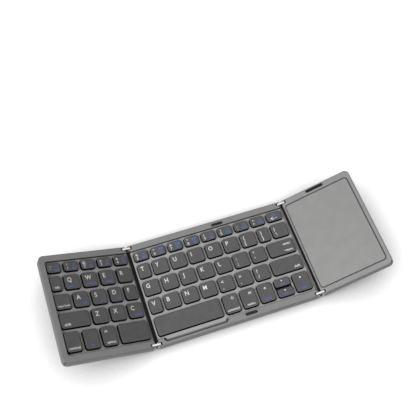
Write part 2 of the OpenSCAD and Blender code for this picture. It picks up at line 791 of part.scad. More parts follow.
module middle_bottom_cover() {
    ribs = [for (row = [0, 2]) [middle_rib_x, gap_y(row)]];
    color(frame_color) in_middle()
        bottom_cover(middle_x, middle_inside, middle_between, [], ribs, middle_screw_at, middle_feet_at) {
            setbacks();
            ribbon_slot(-1);
            ribbon_slot(1);
        }
}

module middle_top_frame() {
    through_x = [middle_x[0] - cut_over, middle_x[1] + cut_over];
    color(frame_color) in_middle() difference() {
        panel_block(middle_x, [seam_z, 0], top_chamfer, 0);
        frame_hollow(middle_inside, middle_between, deck_z);
        setbacks();
        box(through_x, well_y, [-deck_drop - eps, cut_over]);
        box(through_x, deck_y, [deck_z, -deck_drop]);
        notches(-1);
        notches(1);
        pins(middle_x[0] - edge_gap + pin_x);
        pins(middle_x[1] + edge_gap - pin_x);
        ribbon_slot(-1);
        ribbon_slot(1);
        thumb_scoop();
        bumper_pads([-bumper_sink, cut_over]);
    }
}

module middle_key_deck() {
    color(deck_color) in_middle() key_deck(middle_edge_x, middle_holes, middle_screw_at);
}

module middle_support_plate() {
    color("silver") in_middle() support_plate(middle_sheet_x, middle_screw_at);
}

module middle_membrane() {
    color(dark_color) in_middle() membrane(middle_sheet_x, middle_screw_at);
}

module middle_rubber_domes() {
    color("gainsboro") in_middle() domes(middle_boxes);
}

module middle_scissor_levers() {
    color("white") in_middle() levers(middle_boxes);
}

module middle_feet() {
    color(dark_color) in_middle() foot_pads(middle_feet_at, [-rim_z, -body_t + foot_sink]);
}

module middle_screws() {
    color("dimgray") in_middle() screws(middle_screw_at);
}

module middle_hinge_pins() {
    color("silver") in_middle() {
        pins(middle_x[0] - edge_gap + pin_x);
        pins(middle_x[1] + edge_gap - pin_x);
    }
}

module closing_bumpers() {
    color(dark_color) in_middle() bumper_pads([-bumper_sink, bumper_proud]);
}

// ---- left panel ----

left_inside = [left_x[0] + fold_wall, left_x[1] - fold_wall];
left_between = [left_x[0] + wall_t, left_x[1] - block_x + edge_gap];
left_lip_x = left_x[0] + wall_t + lip_play;
left_feet_at = feet_at(left_x);
left_sheet_x = [left_lip_x + lip_t + sheet_play, left_inside[1] - sheet_play];
left_rib_x = [left_sheet_x[0], left_inside[1] - 2 * ribbon_end];

module left_bottom_cover() {
    ribs = [for (row = [0, 2]) [left_rib_x, gap_y(row)]];
    color(frame_color) in_left()
        bottom_cover(left_x, left_inside, left_between, [left_lip_x], ribs, left_screw_at, left_feet_at)
            ribbon_slot(-1);
}

module left_top_frame() {
    color(frame_color) in_left() difference() {
        panel_block(left_x, [seam_z, 0], top_chamfer, 0);
        frame_hollow([left_between[0], left_inside[1]], left_between, deck_z);
        round_block([left_well_x, left_x[1] + corner_r], well_y, [-deck_drop - eps, cut_over], well_r);
        box([left_well_x - deck_tuck, left_x[1] + cut_over], deck_y, [deck_z, -deck_drop]);
        notches(-1);
        pins(left_x[1] + edge_gap - pin_x);
        ribbon_slot(-1);
    }
}

module left_key_deck() {
    color(deck_color) in_left() key_deck([left_well_x - deck_tuck, left_x[1]], left_boxes, left_screw_at);
}

module left_support_plate() {
    color("silver") in_left() support_plate(left_sheet_x, left_screw_at);
}

module left_membrane() {
    color(dark_color) in_left() membrane(left_sheet_x, left_screw_at);
}

module left_rubber_domes() {
    color("gainsboro") in_left() domes(left_boxes);
}

module left_scissor_levers() {
    color("white") in_left() levers(left_boxes);
}

module left_feet() {
    color(dark_color) in_left() foot_pads(left_feet_at, [-rim_z, -body_t + foot_sink]);
}

module left_screws() {
    color("dimgray") in_left() screws(left_screw_at);
}

module left_hinge_pins() {
    color("silver") in_left() pins(left_x[1] + edge_gap - pin_x);
}

// ---- right panel ----

right_inside = [right_x[0] + fold_wall, right_x[1] - fold_wall];
right_between = [right_x[0] + block_x - edge_gap, right_x[1] - wall_t];
right_lip_x = right_x[1] - wall_t - lip_play - lip_t;
right_feet_at = feet_at(right_x);
pad_open_x = [pad_x[0] - pad_groove, pad_x[1] + pad_groove];
pad_open_y = [pad_y[0] - pad_groove, pad_y[1] + pad_groove];
window_at = [half_span + right_reach / 2, half_depth - window_inset];
window_z = [-bumper_sink, 0];
port_y = [half_depth - port_l - board_play, half_depth - board_play];
port_z = [board_z, board_z + port_h];

// The opening for the charging port through the back walls
module port_opening() {
    half_w = port_w / 2 + hole_play;
    box([port_at - half_w, port_at + half_w], [port_y[0], half_depth + cut_over],
        [port_z[0] - eps, port_z[1] + hole_play]);
}

module right_bottom_cover() {
    color(frame_color) in_right()
        bottom_cover(right_x, right_inside, right_between, [right_lip_x], [], right_screw_at, right_feet_at) {
            ribbon_slot(1);
            port_opening();
        }
}

module right_top_frame() {
    color(frame_color) in_right() difference() {
        union() {
            difference() {
                panel_block(right_x, [seam_z, 0], top_chamfer, 0);
                frame_hollow([right_inside[0], right_between[1]], right_between, -deck_drop);
            }
            for (p = right_screw_at) translate([p[0], p[1], plate_z])
                cylinder(h = -deck_drop - plate_z + eps, r = boss_r);
        }
        round_block(pad_open_x, pad_open_y, [-pad_t, cut_over], pad_r + pad_groove);
        round_block([pad_open_x[0] + pad_ledge, pad_open_x[1] - pad_ledge],
            [pad_open_y[0] + pad_ledge, pad_open_y[1] - pad_ledge], [-deck_drop - eps, 0], pad_r);
        notches(1);
        pins(right_x[0] - edge_gap + pin_x);
        ribbon_slot(1);
        port_opening();
        screw_holes(right_screw_at);
        pill(window_at[0], window_at[1], [window_z[0], cut_over], window_l, window_w);
    }
}

module touchpad_surface() {
    color("darkgray") in_right() round_block(pad_x, pad_y, [-pad_t, 0], pad_r);
}

module touchpad_board() {
    edge = pad_groove + board_play;
    x = [pad_open_x[0] + pad_ledge + edge, pad_open_x[1] - pad_ledge - edge];
    y = [pad_open_y[0] + pad_ledge + edge, pad_open_y[1] - pad_ledge - edge];
    color("green") in_right() round_block(x, y, [-pad_t - board_t, -pad_t], pad_r);
}

module main_circuit_board() {
    color("green") in_right() translate([0, 0, floor_z]) linear_extrude(board_t) difference() {
        translate([board_x[0], board_y[0]]) square([board_x[1] - board_x[0], board_y[1] - board_y[0]]);
        notch = right_screw_at[1] + [post_r + board_play, -post_r - board_play];
        translate([board_x[0] - cut_over, notch[1]])
            square([notch[0] - board_x[0] + cut_over, board_depth]);
    }
}

module battery() {
    x = [battery_x - battery_w / 2, battery_x + battery_w / 2];
    y = [battery_y - battery_d / 2, battery_y + battery_d / 2];
    color("lightsteelblue") in_right() round_block(x, y, [floor_z, floor_z + battery_t], battery_r);
}

// A metal shell with a flat tongue inside, open to the back
module charging_port() {
    shell_t = 0.3;
    tongue = [6.6, 4.6, 0.7];
    depth = 5.6;
    r = port_h / 2 - eps;
    middle_z = (port_z[0] + port_z[1]) / 2;
    x = [-port_w / 2, port_w / 2];
    z = [-port_h / 2, port_h / 2];
    color("silver") in_right() translate([port_at, 0, middle_z]) {
        difference() {
            translate([0, port_y[1], 0]) rotate([90, 0, 0]) linear_extrude(port_l) round_rect(x, z, r);
            translate([0, port_y[1] + eps, 0]) rotate([90, 0, 0]) linear_extrude(depth)
                round_rect([x[0] + shell_t, x[1] - shell_t], [z[0] + shell_t, z[1] - shell_t], r - shell_t);
        }
        translate([-tongue[0] / 2, port_y[1] - depth - eps, -tongue[2] / 2]) cube(tongue);
    }
}

module indicator_window() {
    color(dark_color) in_right() pill(window_at[0], window_at[1], window_z, window_l, window_w);
}

module right_feet() {
    color(dark_color) in_right() foot_pads(right_feet_at, [-rim_z, -body_t + foot_sink]);
}

module right_screws() {
    color("dimgray") in_right() screws(right_screw_at);
}

module right_hinge_pins() {
    color("silver") in_right() pins(right_x[0] - edge_gap + pin_x);
}

// ---- folds ----

module left_hinge_links() {
    color("gainsboro") in_left_link() links(-1);
}

module left_hinge_spine() {
    color(dark_color) in_left_link() spine(-1);
}

module left_ribbon_cable() {
    color(dark_color) in_middle() ribbon(-1, left_tilt);
}

module right_hinge_links() {
    color("gainsboro") in_right_link() links(1);
}

module right_hinge_spine() {
    color(dark_color) in_right_link() spine(1);
}

module right_ribbon_cable() {
    color(dark_color) in_middle() ribbon(1, right_tilt);
}

// ---- keys ----

// Caps of some keys of one row on the left or the middle panel
module left_caps(row, first, last) {
    color(cap_color) in_left() caps([for (k = pick(left_keys(row), first, last)) key_box(k)]);
}

module middle_caps(row, first, last) {
    color(cap_color) in_middle() caps([for (k = pick(middle_keys(row), first, last)) key_box(k)]);
}

module left_number_keys() { left_caps(0, 0, 4); }
module tab_key() { left_caps(1, 0, 0); }
module keys_q_to_r() { left_caps(1, 1, 4); }
module caps_lock_key() { left_caps(2, 0, 0); }
module keys_a_to_f() { left_caps(2, 1, 4); }
module left_shift_key() { left_caps(3, 0, 0); }
module keys_z_to_c() { left_caps(3, 1, 3); }
module left_modifier_keys() { left_caps(4, 0, 2); }
module left_space_key() { left_caps(4, 3, 3); }
module middle_number_keys() { middle_caps(0, 0, 7); }
module backspace_key() { middle_caps(0, 8, 8); }
module keys_t_to_slash() { middle_caps(1, 0, 8); }
module keys_g_to_quote() { middle_caps(2, 0, 6); }
module enter_key() { middle_caps(2, 7, 7); }
module keys_v_to_slash() { middle_caps(3, 0, 6); }
module right_shift_key() { middle_caps(3, 7, 7); }
module space_bar() { middle_caps(4, 0, 0); }
module right_modifier_keys() { middle_caps(4, 1, 2); }
module left_arrow_key() { middle_caps(4, 3, 3); }
module up_arrow_key() { color(cap_color) in_middle() caps([up_arrow_box]); }
module down_arrow_key() { color(cap_color) in_middle() caps([down_arrow_box]); }
module right_arrow_key() { middle_caps(4, 5, 5); }

middle_bottom_cover();
middle_top_frame();
middle_key_deck();
middle_support_plate();
middle_membrane();
middle_rubber_domes();
middle_scissor_levers();
middle_feet();
middle_screws();
middle_hinge_pins();
closing_bumpers();
left_bottom_cover();
left_top_frame();
left_key_deck();
left_support_plate();
left_membrane();
left_rubber_domes();
left_scissor_levers();
left_feet();
left_screws();
left_hinge_pins();
right_bottom_cover();
right_top_frame();
touchpad_surface();
touchpad_board();
main_circuit_board();
battery();
charging_port();
indicator_window();
right_feet();
right_screws();
right_hinge_pins();
left_hinge_links();
left_hinge_spine();
left_ribbon_cable();
right_hinge_links();
right_hinge_spine();
right_ribbon_cable();
left_number_keys();
tab_key();
keys_q_to_r();
caps_lock_key();
keys_a_to_f();
left_shift_key();
keys_z_to_c();
left_modifier_keys();
left_space_key();
middle_number_keys();
backspace_key();
keys_t_to_slash();
keys_g_to_quote();
enter_key();
keys_v_to_slash();
right_shift_key();
space_bar();
right_modifier_keys();
left_arrow_key();
up_arrow_key();
down_arrow_key();
right_arrow_key();
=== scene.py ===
import json
import math
from functools import partial

import bmesh
import bpy
from bpy.props import FloatProperty, FloatVectorProperty, IntProperty, PointerProperty
from bpy.types import Operator, Panel, PropertyGroup
from mathutils import Matrix, Vector


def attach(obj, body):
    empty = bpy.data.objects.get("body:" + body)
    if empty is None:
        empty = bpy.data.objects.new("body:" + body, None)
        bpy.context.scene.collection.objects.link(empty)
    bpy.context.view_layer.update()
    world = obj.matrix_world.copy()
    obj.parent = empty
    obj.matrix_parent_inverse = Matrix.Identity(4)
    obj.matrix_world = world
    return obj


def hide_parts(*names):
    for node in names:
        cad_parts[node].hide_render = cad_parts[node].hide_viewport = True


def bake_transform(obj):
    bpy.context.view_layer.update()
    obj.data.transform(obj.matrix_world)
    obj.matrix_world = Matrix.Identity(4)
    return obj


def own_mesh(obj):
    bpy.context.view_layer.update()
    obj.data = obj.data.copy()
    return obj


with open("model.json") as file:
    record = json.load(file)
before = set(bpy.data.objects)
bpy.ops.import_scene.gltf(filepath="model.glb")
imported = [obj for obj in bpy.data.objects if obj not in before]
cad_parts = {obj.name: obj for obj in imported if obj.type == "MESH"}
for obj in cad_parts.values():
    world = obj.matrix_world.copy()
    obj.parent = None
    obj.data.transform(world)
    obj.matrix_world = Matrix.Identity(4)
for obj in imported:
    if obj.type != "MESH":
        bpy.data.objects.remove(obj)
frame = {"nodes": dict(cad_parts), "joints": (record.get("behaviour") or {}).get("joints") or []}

bl_info = {
    "name": "Folding Keyboard Dressing",
    "version": (1, 0, 0),
    "blender": (4, 5, 0),
    "location": "3D View > Sidebar > Keyboard",
    "description": "Gives the folding keyboard its caps, legends, finishes, floor and light",
    "category": "Object",
}

MM = 0.001
LEFT_KEYS = (
    "left_number_keys", "tab_key", "keys_q_to_r", "caps_lock_key", "keys_a_to_f",
    "left_shift_key", "keys_z_to_c", "left_modifier_keys", "left_space_key",
)
MIDDLE_KEYS = (
    "middle_number_keys", "backspace_key", "keys_t_to_slash", "keys_g_to_quote", "enter_key",
    "keys_v_to_slash", "right_shift_key", "space_bar", "right_modifier_keys",
    "left_arrow_key", "up_arrow_key", "down_arrow_key", "right_arrow_key",
)
SIDES = ("left", "middle", "right")
# The node of each panel that has a large level face
LEVEL_NODES = {"left": "left_key_deck", "middle": "middle_key_deck", "right": "touchpad_surface"}
# Lines per metre of a wave texture at a scale of one
WAVE_LINES = 10 / math.pi
BLACK = (0.006, 0.006, 0.006)
# Painted black shade for the rims' inner walls, recesses and grooves
PAINTED_GROOVE_SHADE = (0.008, 0.008, 0.008)
# Painted black shade for the touchpad's side walls
PAINTED_WALL_SHADE = (0.01, 0.01, 0.01)
# Painted shade along the links' long edges
LINK_EDGE_SHADE = (0.1, 0.1, 0.1)
# How squarely a face looks up where the painted shade beside an edge is full, and where there is none
EDGE_FACING = (0.86, 0.998)
# How squarely a face looks up where a rim's inner walls get painted black shade, and where they do not
LEVEL_FACING = (0.6, 0.95)
# The painted black shade of the inner walls keeps this far from a rim's outer sides and from its level face
RIM_SIDE = 1.0 * MM
RIM_SKIN = 0.08 * MM
# It reaches this far down
RIM_DEPTH = 20 * MM
# It begins this far past the touchpad's left edge
PAD_OVERLAP = 1.5 * MM
# Where the painted highlight along a spine's left side begins to fade and where it ends, as shares of the
# width
SPINE_HIGHLIGHT = (0.2, 0.42)
# Edges sharper than this are not shaded smooth
SHARP_ANGLE = math.radians(35)
# Corners closer than this are joined
WELD = 0.001 * MM
LETTER_WELD = 0.0001 * MM
# The legends' finishes by their place
WHITE = 0
BLUE = 1
# The share of a text's width that lies left of its place
LEFT = 0.0
CENTRE = 0.5
RIGHT = 1.0
# Height of a capital letter in a font of size one, and how much a letter is thickened per height
CAPITAL_HEIGHT = 0.682
BOLDNESS = 0.022
LETTER_STEPS = 3
CORNER_STEPS = 7
# Shares by which the dished face of a cap shrinks from ring to ring
DISH_RINGS = (0.9, 0.7, 0.62, 0.45)
# Places, widths and colours of the studio; what the camera sees of the floor is darker before its glow
FRONT_LAMP_AT = (0.0, -0.5, 0.45)
FRONT_LAMP_SIZE = 0.5
SIDE_LAMP_AT = (-2.25, -0.6, 2.1)
SIDE_LAMP_SIZE = 3.2
FLOOR_COLOUR = (0.86, 0.86, 0.86)
FLOOR_SEEN = (0.3, 0.3, 0.3)
FLOOR_REACH = 3.0

# Each key of a node, from left to right: what kind of marks it carries and which
LEGENDS = {
    "left_number_keys": [
        ("number", "~", "`", "⌂", "esc"), ("number", "!", "1", "☼", "F1"),
        ("number", "@", "2", "⌕", "F2"), ("number", "#", "3", "▤", "F3"),
        ("number", "$", "4", "✉", "F4"),
    ],
    "tab_key": [("word", "tab", CENTRE)],
    "keys_q_to_r": [
        ("left letter", "Q", "pad"), ("letter", "W", "desktop"), ("letter", "E", "mobile"), ("letter", "R"),
    ],
    "caps_lock_key": [("small word", "caps lock")],
    "keys_a_to_f": [
        ("right letter", "A", "⇆1"), ("right letter", "S", "⇆2"), ("right letter", "D", "⇆3"),
        ("letter", "F"),
    ],
    "left_shift_key": [("word", "shift", LEFT)],
    "keys_z_to_c": [("letter", "Z"), ("letter", "X"), ("right letter", "C", "connect")],
    "left_modifier_keys": [
        ("word", "control", CENTRE), ("blue word", "Fn"), ("small mark", "alt", "option"),
    ],
    "middle_number_keys": [
        ("number", "%", "5", "⎘", "F5"), ("number", "^", "6", "◀◀", "F6"),
        ("number", "&", "7", "▶■", "F7"), ("number", "*", "8", "▶▶", "F8"),
        ("number", "(", "9", "♪", "F9"), ("number", ")", "0", "♪-", "F10"),
        ("number", "_", "-", "♪+", "F11"), ("number", "+", "=", "⏏", "F12"),
    ],
    "backspace_key": [("arrow word", "←", "del")],
    "keys_t_to_slash": [
        ("letter", "T"), ("letter", "Y"), ("letter", "U"), ("letter", "I"), ("letter", "O"), ("letter", "P"),
        ("pair", "{", "["), ("pair", "}", "]"), ("pair", "|", "\\"),
    ],
    "keys_g_to_quote": [
        ("letter", "G"), ("letter", "H"), ("letter", "J"), ("letter", "K"), ("letter", "L"),
        ("pair", ":", ";"), ("pair", "\"", "'"),
    ],
    "enter_key": [("two words", "enter", "return")],
    "keys_v_to_slash": [
        ("letter", "V"), ("letter", "B"), ("letter", "N"), ("letter", "M"),
        ("pair", "<", ","), ("pair", ">", "."), ("pair", "?", "/"),
    ],
    "right_shift_key": [("word", "shift", RIGHT)],
    "right_modifier_keys": [
        ("right mark", "◇", "command"), ("right mark", "alt", "option"),
    ],
    "left_arrow_key": [("arrow", "◀", "home")],
    "up_arrow_key": [("half arrow", "▲", "pgup")],
    "down_arrow_key": [("half arrow", "▼", "pgdn")],
    "right_arrow_key": [("arrow", "▶", "end")],
}


# ---- settings ----

class KeyboardSizes(PropertyGroup):
    """Sizes that a user would change"""
    cap_corner: FloatProperty(
        name="Cap corner", description="Radius of a key cap's corners", default=2.3 * MM, unit="LENGTH")
    cap_edge: FloatProperty(
        name="Cap edge", description="Radius round a key cap's top", default=0.65 * MM, unit="LENGTH")
    cap_dish: FloatProperty(
        name="Cap dish", description="How far a key cap's top is dished", default=0.14 * MM, unit="LENGTH")
    cap_wall: FloatProperty(
        name="Cap wall", description="Thickness of a key cap's skirt", default=0.8 * MM, unit="LENGTH")
    cap_top: FloatProperty(
        name="Cap top", description="Thickness of a key cap's top", default=1.18 * MM, unit="LENGTH")
    letter_height: FloatProperty(
        name="Letters", description="Height of the letters on the keys", default=3.8 * MM, unit="LENGTH")
    mark_height: FloatProperty(
        name="Marks", description="Height of the signs on the number keys", default=2.5 * MM, unit="LENGTH")
    word_height: FloatProperty(
        name="Words", description="Height of the words on the keys", default=2.15 * MM, unit="LENGTH")
    ink: FloatProperty(
        name="Ink", description="How far the print stands on a cap", default=0.02 * MM, unit="LENGTH")
    # Edge line: width of the painted shade beside an edge
    edge_line: FloatProperty(
        name="Edge line", description="Width of the darker line beside an edge", default=1.3 * MM,
        unit="LENGTH")
    # Fold edge: the rims' strips beside a fold are kept clear of the painted edge shade
    fold_edge: FloatProperty(
        name="Fold edge", description="Width of the rims' strips beside a fold that have no darker line",
        default=1.5 * MM, unit="LENGTH")
    # Fold chamfer: this chamfer is kept clear of the painted black shade of the inner walls
    fold_chamfer: FloatProperty(
        name="Fold chamfer", description="Width of the bright chamfer beside a fold", default=0.5 * MM,
        unit="LENGTH")
    # Link edge: width of the painted shade along a link's long edges
    link_edge: FloatProperty(
        name="Link edge", description="Width of a link's darker edge", default=0.3 * MM, unit="LENGTH")
    ribbon_steps: IntProperty(
        name="Ribbon steps", description="Steps in the bend of a ribbon cable", default=8, min=4, max=24)
    arc_steps: IntProperty(
        name="Arc steps", description="Steps in a small round edge", default=3, min=1, max=8)


class KeyboardColours(PropertyGroup):
    """Colours of the finishes, in linear values"""
    rim: FloatVectorProperty(
        name="Rims", description="Moulded rims and covers", default=(0.262, 0.262, 0.264),
        subtype="COLOR", min=0, max=1)
    deck: FloatVectorProperty(
        name="Decks", description="Decks between the keys", default=(0.42, 0.42, 0.42),
        subtype="COLOR", min=0, max=1)
    cap: FloatVectorProperty(
        name="Key tops", description="Painted tops of the keys", default=(0.12, 0.12, 0.121),
        subtype="COLOR", min=0, max=1)
    skirt: FloatVectorProperty(
        name="Key sides", description="Sides of the keys", default=(0.003, 0.003, 0.003),
        subtype="COLOR", min=0, max=1)
    white_ink: FloatVectorProperty(
        name="White print", description="Main legends", default=(0.92, 0.92, 0.92),
        subtype="COLOR", min=0, max=1)
    blue_ink: FloatVectorProperty(
        name="Blue print", description="Second legends", default=(0.1, 0.22, 0.72),
        subtype="COLOR", min=0, max=1)
    touchpad: FloatVectorProperty(
        name="Touchpad", description="Surface of the touchpad", default=(0.272, 0.272, 0.268),
        subtype="COLOR", min=0, max=1)
    # Spine edge: colour of the painted highlight along the fold spines' left sides
    spine_highlight: FloatVectorProperty(
        name="Spine edge", description="Grey strip of the fold spines", default=(0.36, 0.36, 0.36),
        subtype="COLOR", min=0, max=1)
    link: FloatVectorProperty(
        name="Links", description="Plated hinge links", default=(0.86, 0.86, 0.87),
        subtype="COLOR", min=0, max=1)


class KeyboardView(PropertyGroup):
    """The camera and the light"""
    camera_at: FloatVectorProperty(
        name="Camera", description="Where the camera stands", default=(-0.09868, -0.24541, 0.58813),
        subtype="TRANSLATION", unit="LENGTH")
    camera_right: FloatVectorProperty(
        name="Right", description="The way to the view's right", default=(0.94652, -0.3224, 0.01291),
        subtype="DIRECTION")
    camera_forward: FloatVectorProperty(
        name="Forward", description="Where the camera looks", default=(0.1694, 0.46247, -0.8703),
        subtype="DIRECTION")
    lens: FloatProperty(
        name="Lens", description="Focal length of the camera", default=63.382, unit="CAMERA")
    sky: FloatProperty(
        name="Sky", description="Strength of the even light", default=0.1, min=0)
    front: FloatProperty(
        name="Front lamp", description="Power of the lamp in front", default=1.0, unit="POWER")
    side: FloatProperty(
        name="Side lamp", description="Power of the large lamp at the left", default=114.0, unit="POWER")
    # Floor glow: dimmed by ambient occlusion into painted shade under the raised panels
    floor_glow: FloatProperty(
        name="Floor glow", description="What the camera sees of the floor beside its own shade",
        default=1.02, min=0)
    # Shade reach: how far the ambient occlusion reaches that paints the floor's shade
    shade_reach: FloatProperty(
        name="Shade reach", description="How far the soft shade under a raised panel reaches", default=0.05,
        min=0, unit="LENGTH")


def sizes():
    return bpy.context.scene.keyboard_sizes


def colours():
    return bpy.context.scene.keyboard_colours


# ---- materials ----

def plain_finish(name, colour, roughness, metallic=0.0, specular=0.5):
    """A material with its constant values on the shader's own sockets."""
    material = bpy.data.materials.new(name)
    material.use_nodes = True
    shader = material.node_tree.nodes["Principled BSDF"]
    shader.inputs["Base Color"].default_value = (*colour, 1)
    shader.inputs["Roughness"].default_value = roughness
    shader.inputs["Metallic"].default_value = metallic
    shader.inputs["Specular IOR Level"].default_value = specular
    material.diffuse_color = (*colour, 1)
    return material


def add_node(material, kind, **values):
    """A new node with the given sockets set."""
    node = material.node_tree.nodes.new(kind)
    for socket, value in values.items():
        node.inputs[socket].default_value = value
    return node


def join(material, out_socket, in_socket):
    material.node_tree.links.new(out_socket, in_socket)


def object_place(material, stretch=(1, 1, 1)):
    """Object coordinates, stretched where a finish runs one way."""
    place = add_node(material, "ShaderNodeTexCoord").outputs["Object"]
    if stretch == (1, 1, 1):
        return place
    mapping = add_node(material, "ShaderNodeMapping", Scale=stretch)
    join(material, place, mapping.inputs["Vector"])
    return mapping.outputs["Vector"]


def noise(material, feature, detail=2.0, stretch=(1, 1, 1)):
    """Noise whose features are about this size in metres."""
    node = add_node(material, "ShaderNodeTexNoise", Scale=1 / feature, Detail=detail)
    join(material, object_place(material, stretch), node.inputs["Vector"])
    return node.outputs["Fac"]


def mix_colours(material, share, first, second):
    """A colour between two others by a share."""
    node = add_node(material, "ShaderNodeMix")
    node.data_type = "RGBA"
    join(material, share, node.inputs["Factor"])
    for socket, colour in ((node.inputs[6], first), (node.inputs[7], second)):
        if isinstance(colour, bpy.types.NodeSocket):
            join(material, colour, socket)
        else:
            socket.default_value = (*colour, 1)
    return node.outputs[2]


def remap(material, value, low, high, out_low, out_high):
    """A value moved from one range to another."""
    node = add_node(material, "ShaderNodeMapRange")
    limits = (("From Min", low), ("From Max", high), ("To Min", out_low), ("To Max", out_high))
    for socket, number in limits:
        node.inputs[socket].default_value = number
    join(material, value, node.inputs["Value"])
    return node.outputs["Result"]


def dot(material, vector, direction):
    """How far a vector runs along a direction."""
    node = add_node(material, "ShaderNodeVectorMath")
    node.operation = "DOT_PRODUCT"
    join(material, vector, node.inputs[0])
    node.inputs[1].default_value = direction
    return node.outputs["Value"]


def reckon(material, operation, *values):
    """The result of a sum on values, each a socket or a number."""
    node = add_node(material, "ShaderNodeMath")
    node.operation = operation
    for place, value in enumerate(values):
        if isinstance(value, bpy.types.NodeSocket):
            join(material, value, node.inputs[place])
        else:
            node.inputs[place].default_value = value
    return node.outputs["Value"]


def size_of(material, value):
    """A value without its sign."""
    return reckon(material, "ABSOLUTE", value)


def within(material, value, low, high):
    """One where a value lies between two others, and zero elsewhere."""
    return reckon(material, "COMPARE", value, (low + high) / 2, (high - low) / 2)


def all_of(material, shares):
    """The product of some shares."""
    result = shares[0]
    for share in shares[1:]:
        result = reckon(material, "MULTIPLY", result, share)
    return result


def shader_of(material):
    return material.node_tree.nodes["Principled BSDF"]


def shade(colour, amount):
    """A colour made darker or lighter by a share."""
    return tuple(min(1.0, c * (1 + amount)) for c in colour)


def mottle(material, colour, spread, feature):
    """Slow changes of shade, as moulded or sprayed surfaces have."""
    share = remap(material, noise(material, feature), 0.35, 0.65, 0, 1)
    tone = mix_colours(material, share, shade(colour, -spread), shade(colour, spread))
    join(material, tone, shader_of(material).inputs["Base Color"])
    return tone


def grain(material, feature, depth, strength, rough, stretch=(1, 1, 1), edge=0.0):
    """Fine texture: bumps of a depth in metres, and roughness that goes with them."""
    height = noise(material, feature, 3.0, stretch)
    bump = add_node(material, "ShaderNodeBump", Strength=strength, Distance=depth)
    join(material, height, bump.inputs["Height"])
    if edge > 0:
        rounding = add_node(material, "ShaderNodeBevel", Radius=edge)
        rounding.samples = 6
        join(material, rounding.outputs["Normal"], bump.inputs["Normal"])
    join(material, bump.outputs["Normal"], shader_of(material).inputs["Normal"])
    blotches = noise(material, feature * 30, 2.0, stretch)
    join(material, remap(material, blotches, 0.3, 0.7, *rough), shader_of(material).inputs["Roughness"])
    return height


def moulded_finish(name, colour, rough, feature=0.14 * MM, edge=0.25 * MM):
    """Spark-eroded moulded plastic with a fine even grain."""
    material = plain_finish(name, colour, rough)
    mottle(material, colour, 0.035, 9 * MM)
    grain(material, feature, 0.02 * MM, 0.35, (rough - 0.05, rough + 0.06), edge=edge)
    return material


def brushed_finish(name, colour, rough, along=(1, 40, 40)):
    """Metal brushed one way."""
    material = plain_finish(name, colour, rough, metallic=1.0)
    lines = grain(material, 0.9 * MM, 0.006 * MM, 0.5, (rough - 0.06, rough + 0.08), stretch=along)
    tone = mix_colours(material, lines, shade(colour, -0.12), shade(colour, 0.1))
    join(material, tone, shader_of(material).inputs["Base Color"])
    return material


def polished_finish(name, colour, rough):
    """Bright plated metal with faint hairlines and smudges."""
    material = plain_finish(name, colour, rough, metallic=1.0)
    grain(material, 0.5 * MM, 0.001 * MM, 0.25, (rough, rough + 0.07), stretch=(3, 1, 3))
    return material


def cap_top_finish(name, colour):
    """Matte sprayed key tops, a little smoother in places."""
    material = plain_finish(name, colour, 0.62, specular=0.2)
    mottle(material, colour, 0.05, 5 * MM)
    grain(material, 0.1 * MM, 0.012 * MM, 0.4, (0.56, 0.7))
    return material


def print_finish(name, colour):
    """Printed legends with a slightly uneven surface."""
    material = plain_finish(name, colour, 0.7, specular=0.2)
    mottle(material, colour, 0.06, 0.8 * MM)
    grain(material, 0.08 * MM, 0.006 * MM, 0.3, (0.62, 0.78))
    return material


def rubber_finish(name, colour):
    """Soft matte rubber."""
    material = plain_finish(name, colour, 0.78, specular=0.3)
    mottle(material, colour, 0.15, 2 * MM)
    grain(material, 0.12 * MM, 0.02 * MM, 0.5, (0.7, 0.86))
    return material


def silicone_finish(name, colour):
    """Milky silicone that lets some light through."""
    material = plain_finish(name, colour, 0.5, specular=0.4)
    shader = shader_of(material)
    shader.inputs["Subsurface Weight"].default_value = 0.35
    shader.inputs["Subsurface Radius"].default_value = (0.8 * MM, 0.7 * MM, 0.6 * MM)
    mottle(material, colour, 0.03, 1.5 * MM)
    grain(material, 0.2 * MM, 0.01 * MM, 0.3, (0.42, 0.58))
    return material


def striped_finish(name, colour, line_colour, pitch, share, rough, along_x):
    """Film or board with straight conductors at a pitch."""
    material = plain_finish(name, colour, rough)
    wave = add_node(material, "ShaderNodeTexWave", Scale=1 / pitch / WAVE_LINES, Distortion=0.0)
    wave.bands_direction = "Y" if along_x else "X"
    join(material, object_place(material), wave.inputs["Vector"])
    line = remap(material, wave.outputs["Fac"], 1 - share - 0.05, 1 - share + 0.05, 0, 1)
    tone = mix_colours(material, line, colour, line_colour)
    join(material, tone, shader_of(material).inputs["Base Color"])
    bump = add_node(material, "ShaderNodeBump", Strength=0.4, Distance=0.02 * MM)
    join(material, line, bump.inputs["Height"])
    join(material, bump.outputs["Normal"], shader_of(material).inputs["Normal"])
    return material


def board_finish(name, colour, line_colour):
    """Solder mask over copper tracks and pads."""
    material = plain_finish(name, colour, 0.35)
    cells = add_node(material, "ShaderNodeTexVoronoi", Scale=1 / (2.2 * MM))
    cells.distance = "CHEBYCHEV"
    cells.feature = "F1"
    join(material, object_place(material), cells.inputs["Vector"])
    track = remap(material, cells.outputs["Distance"], 0.42, 0.5, 0, 1)
    tone = mix_colours(material, track, colour, line_colour)
    join(material, tone, shader_of(material).inputs["Base Color"])
    grain(material, 0.3 * MM, 0.01 * MM, 0.3, (0.28, 0.45))
    return material


def foil_finish(name, colour):
    """Crinkled laminated foil."""
    material = plain_finish(name, colour, 0.3, metallic=0.85)
    mottle(material, colour, 0.06, 6 * MM)
    grain(material, 3.5 * MM, 0.25 * MM, 0.35, (0.25, 0.4))
    return material


def window_finish(name, colour):
    """Dark tinted window with a fine matte grain."""
    material = plain_finish(name, colour, 0.6, specular=0.12)
    mottle(material, colour, 0.2, 3 * MM)
    grain(material, 0.2 * MM, 0.01 * MM, 0.3, (0.52, 0.68))
    return material


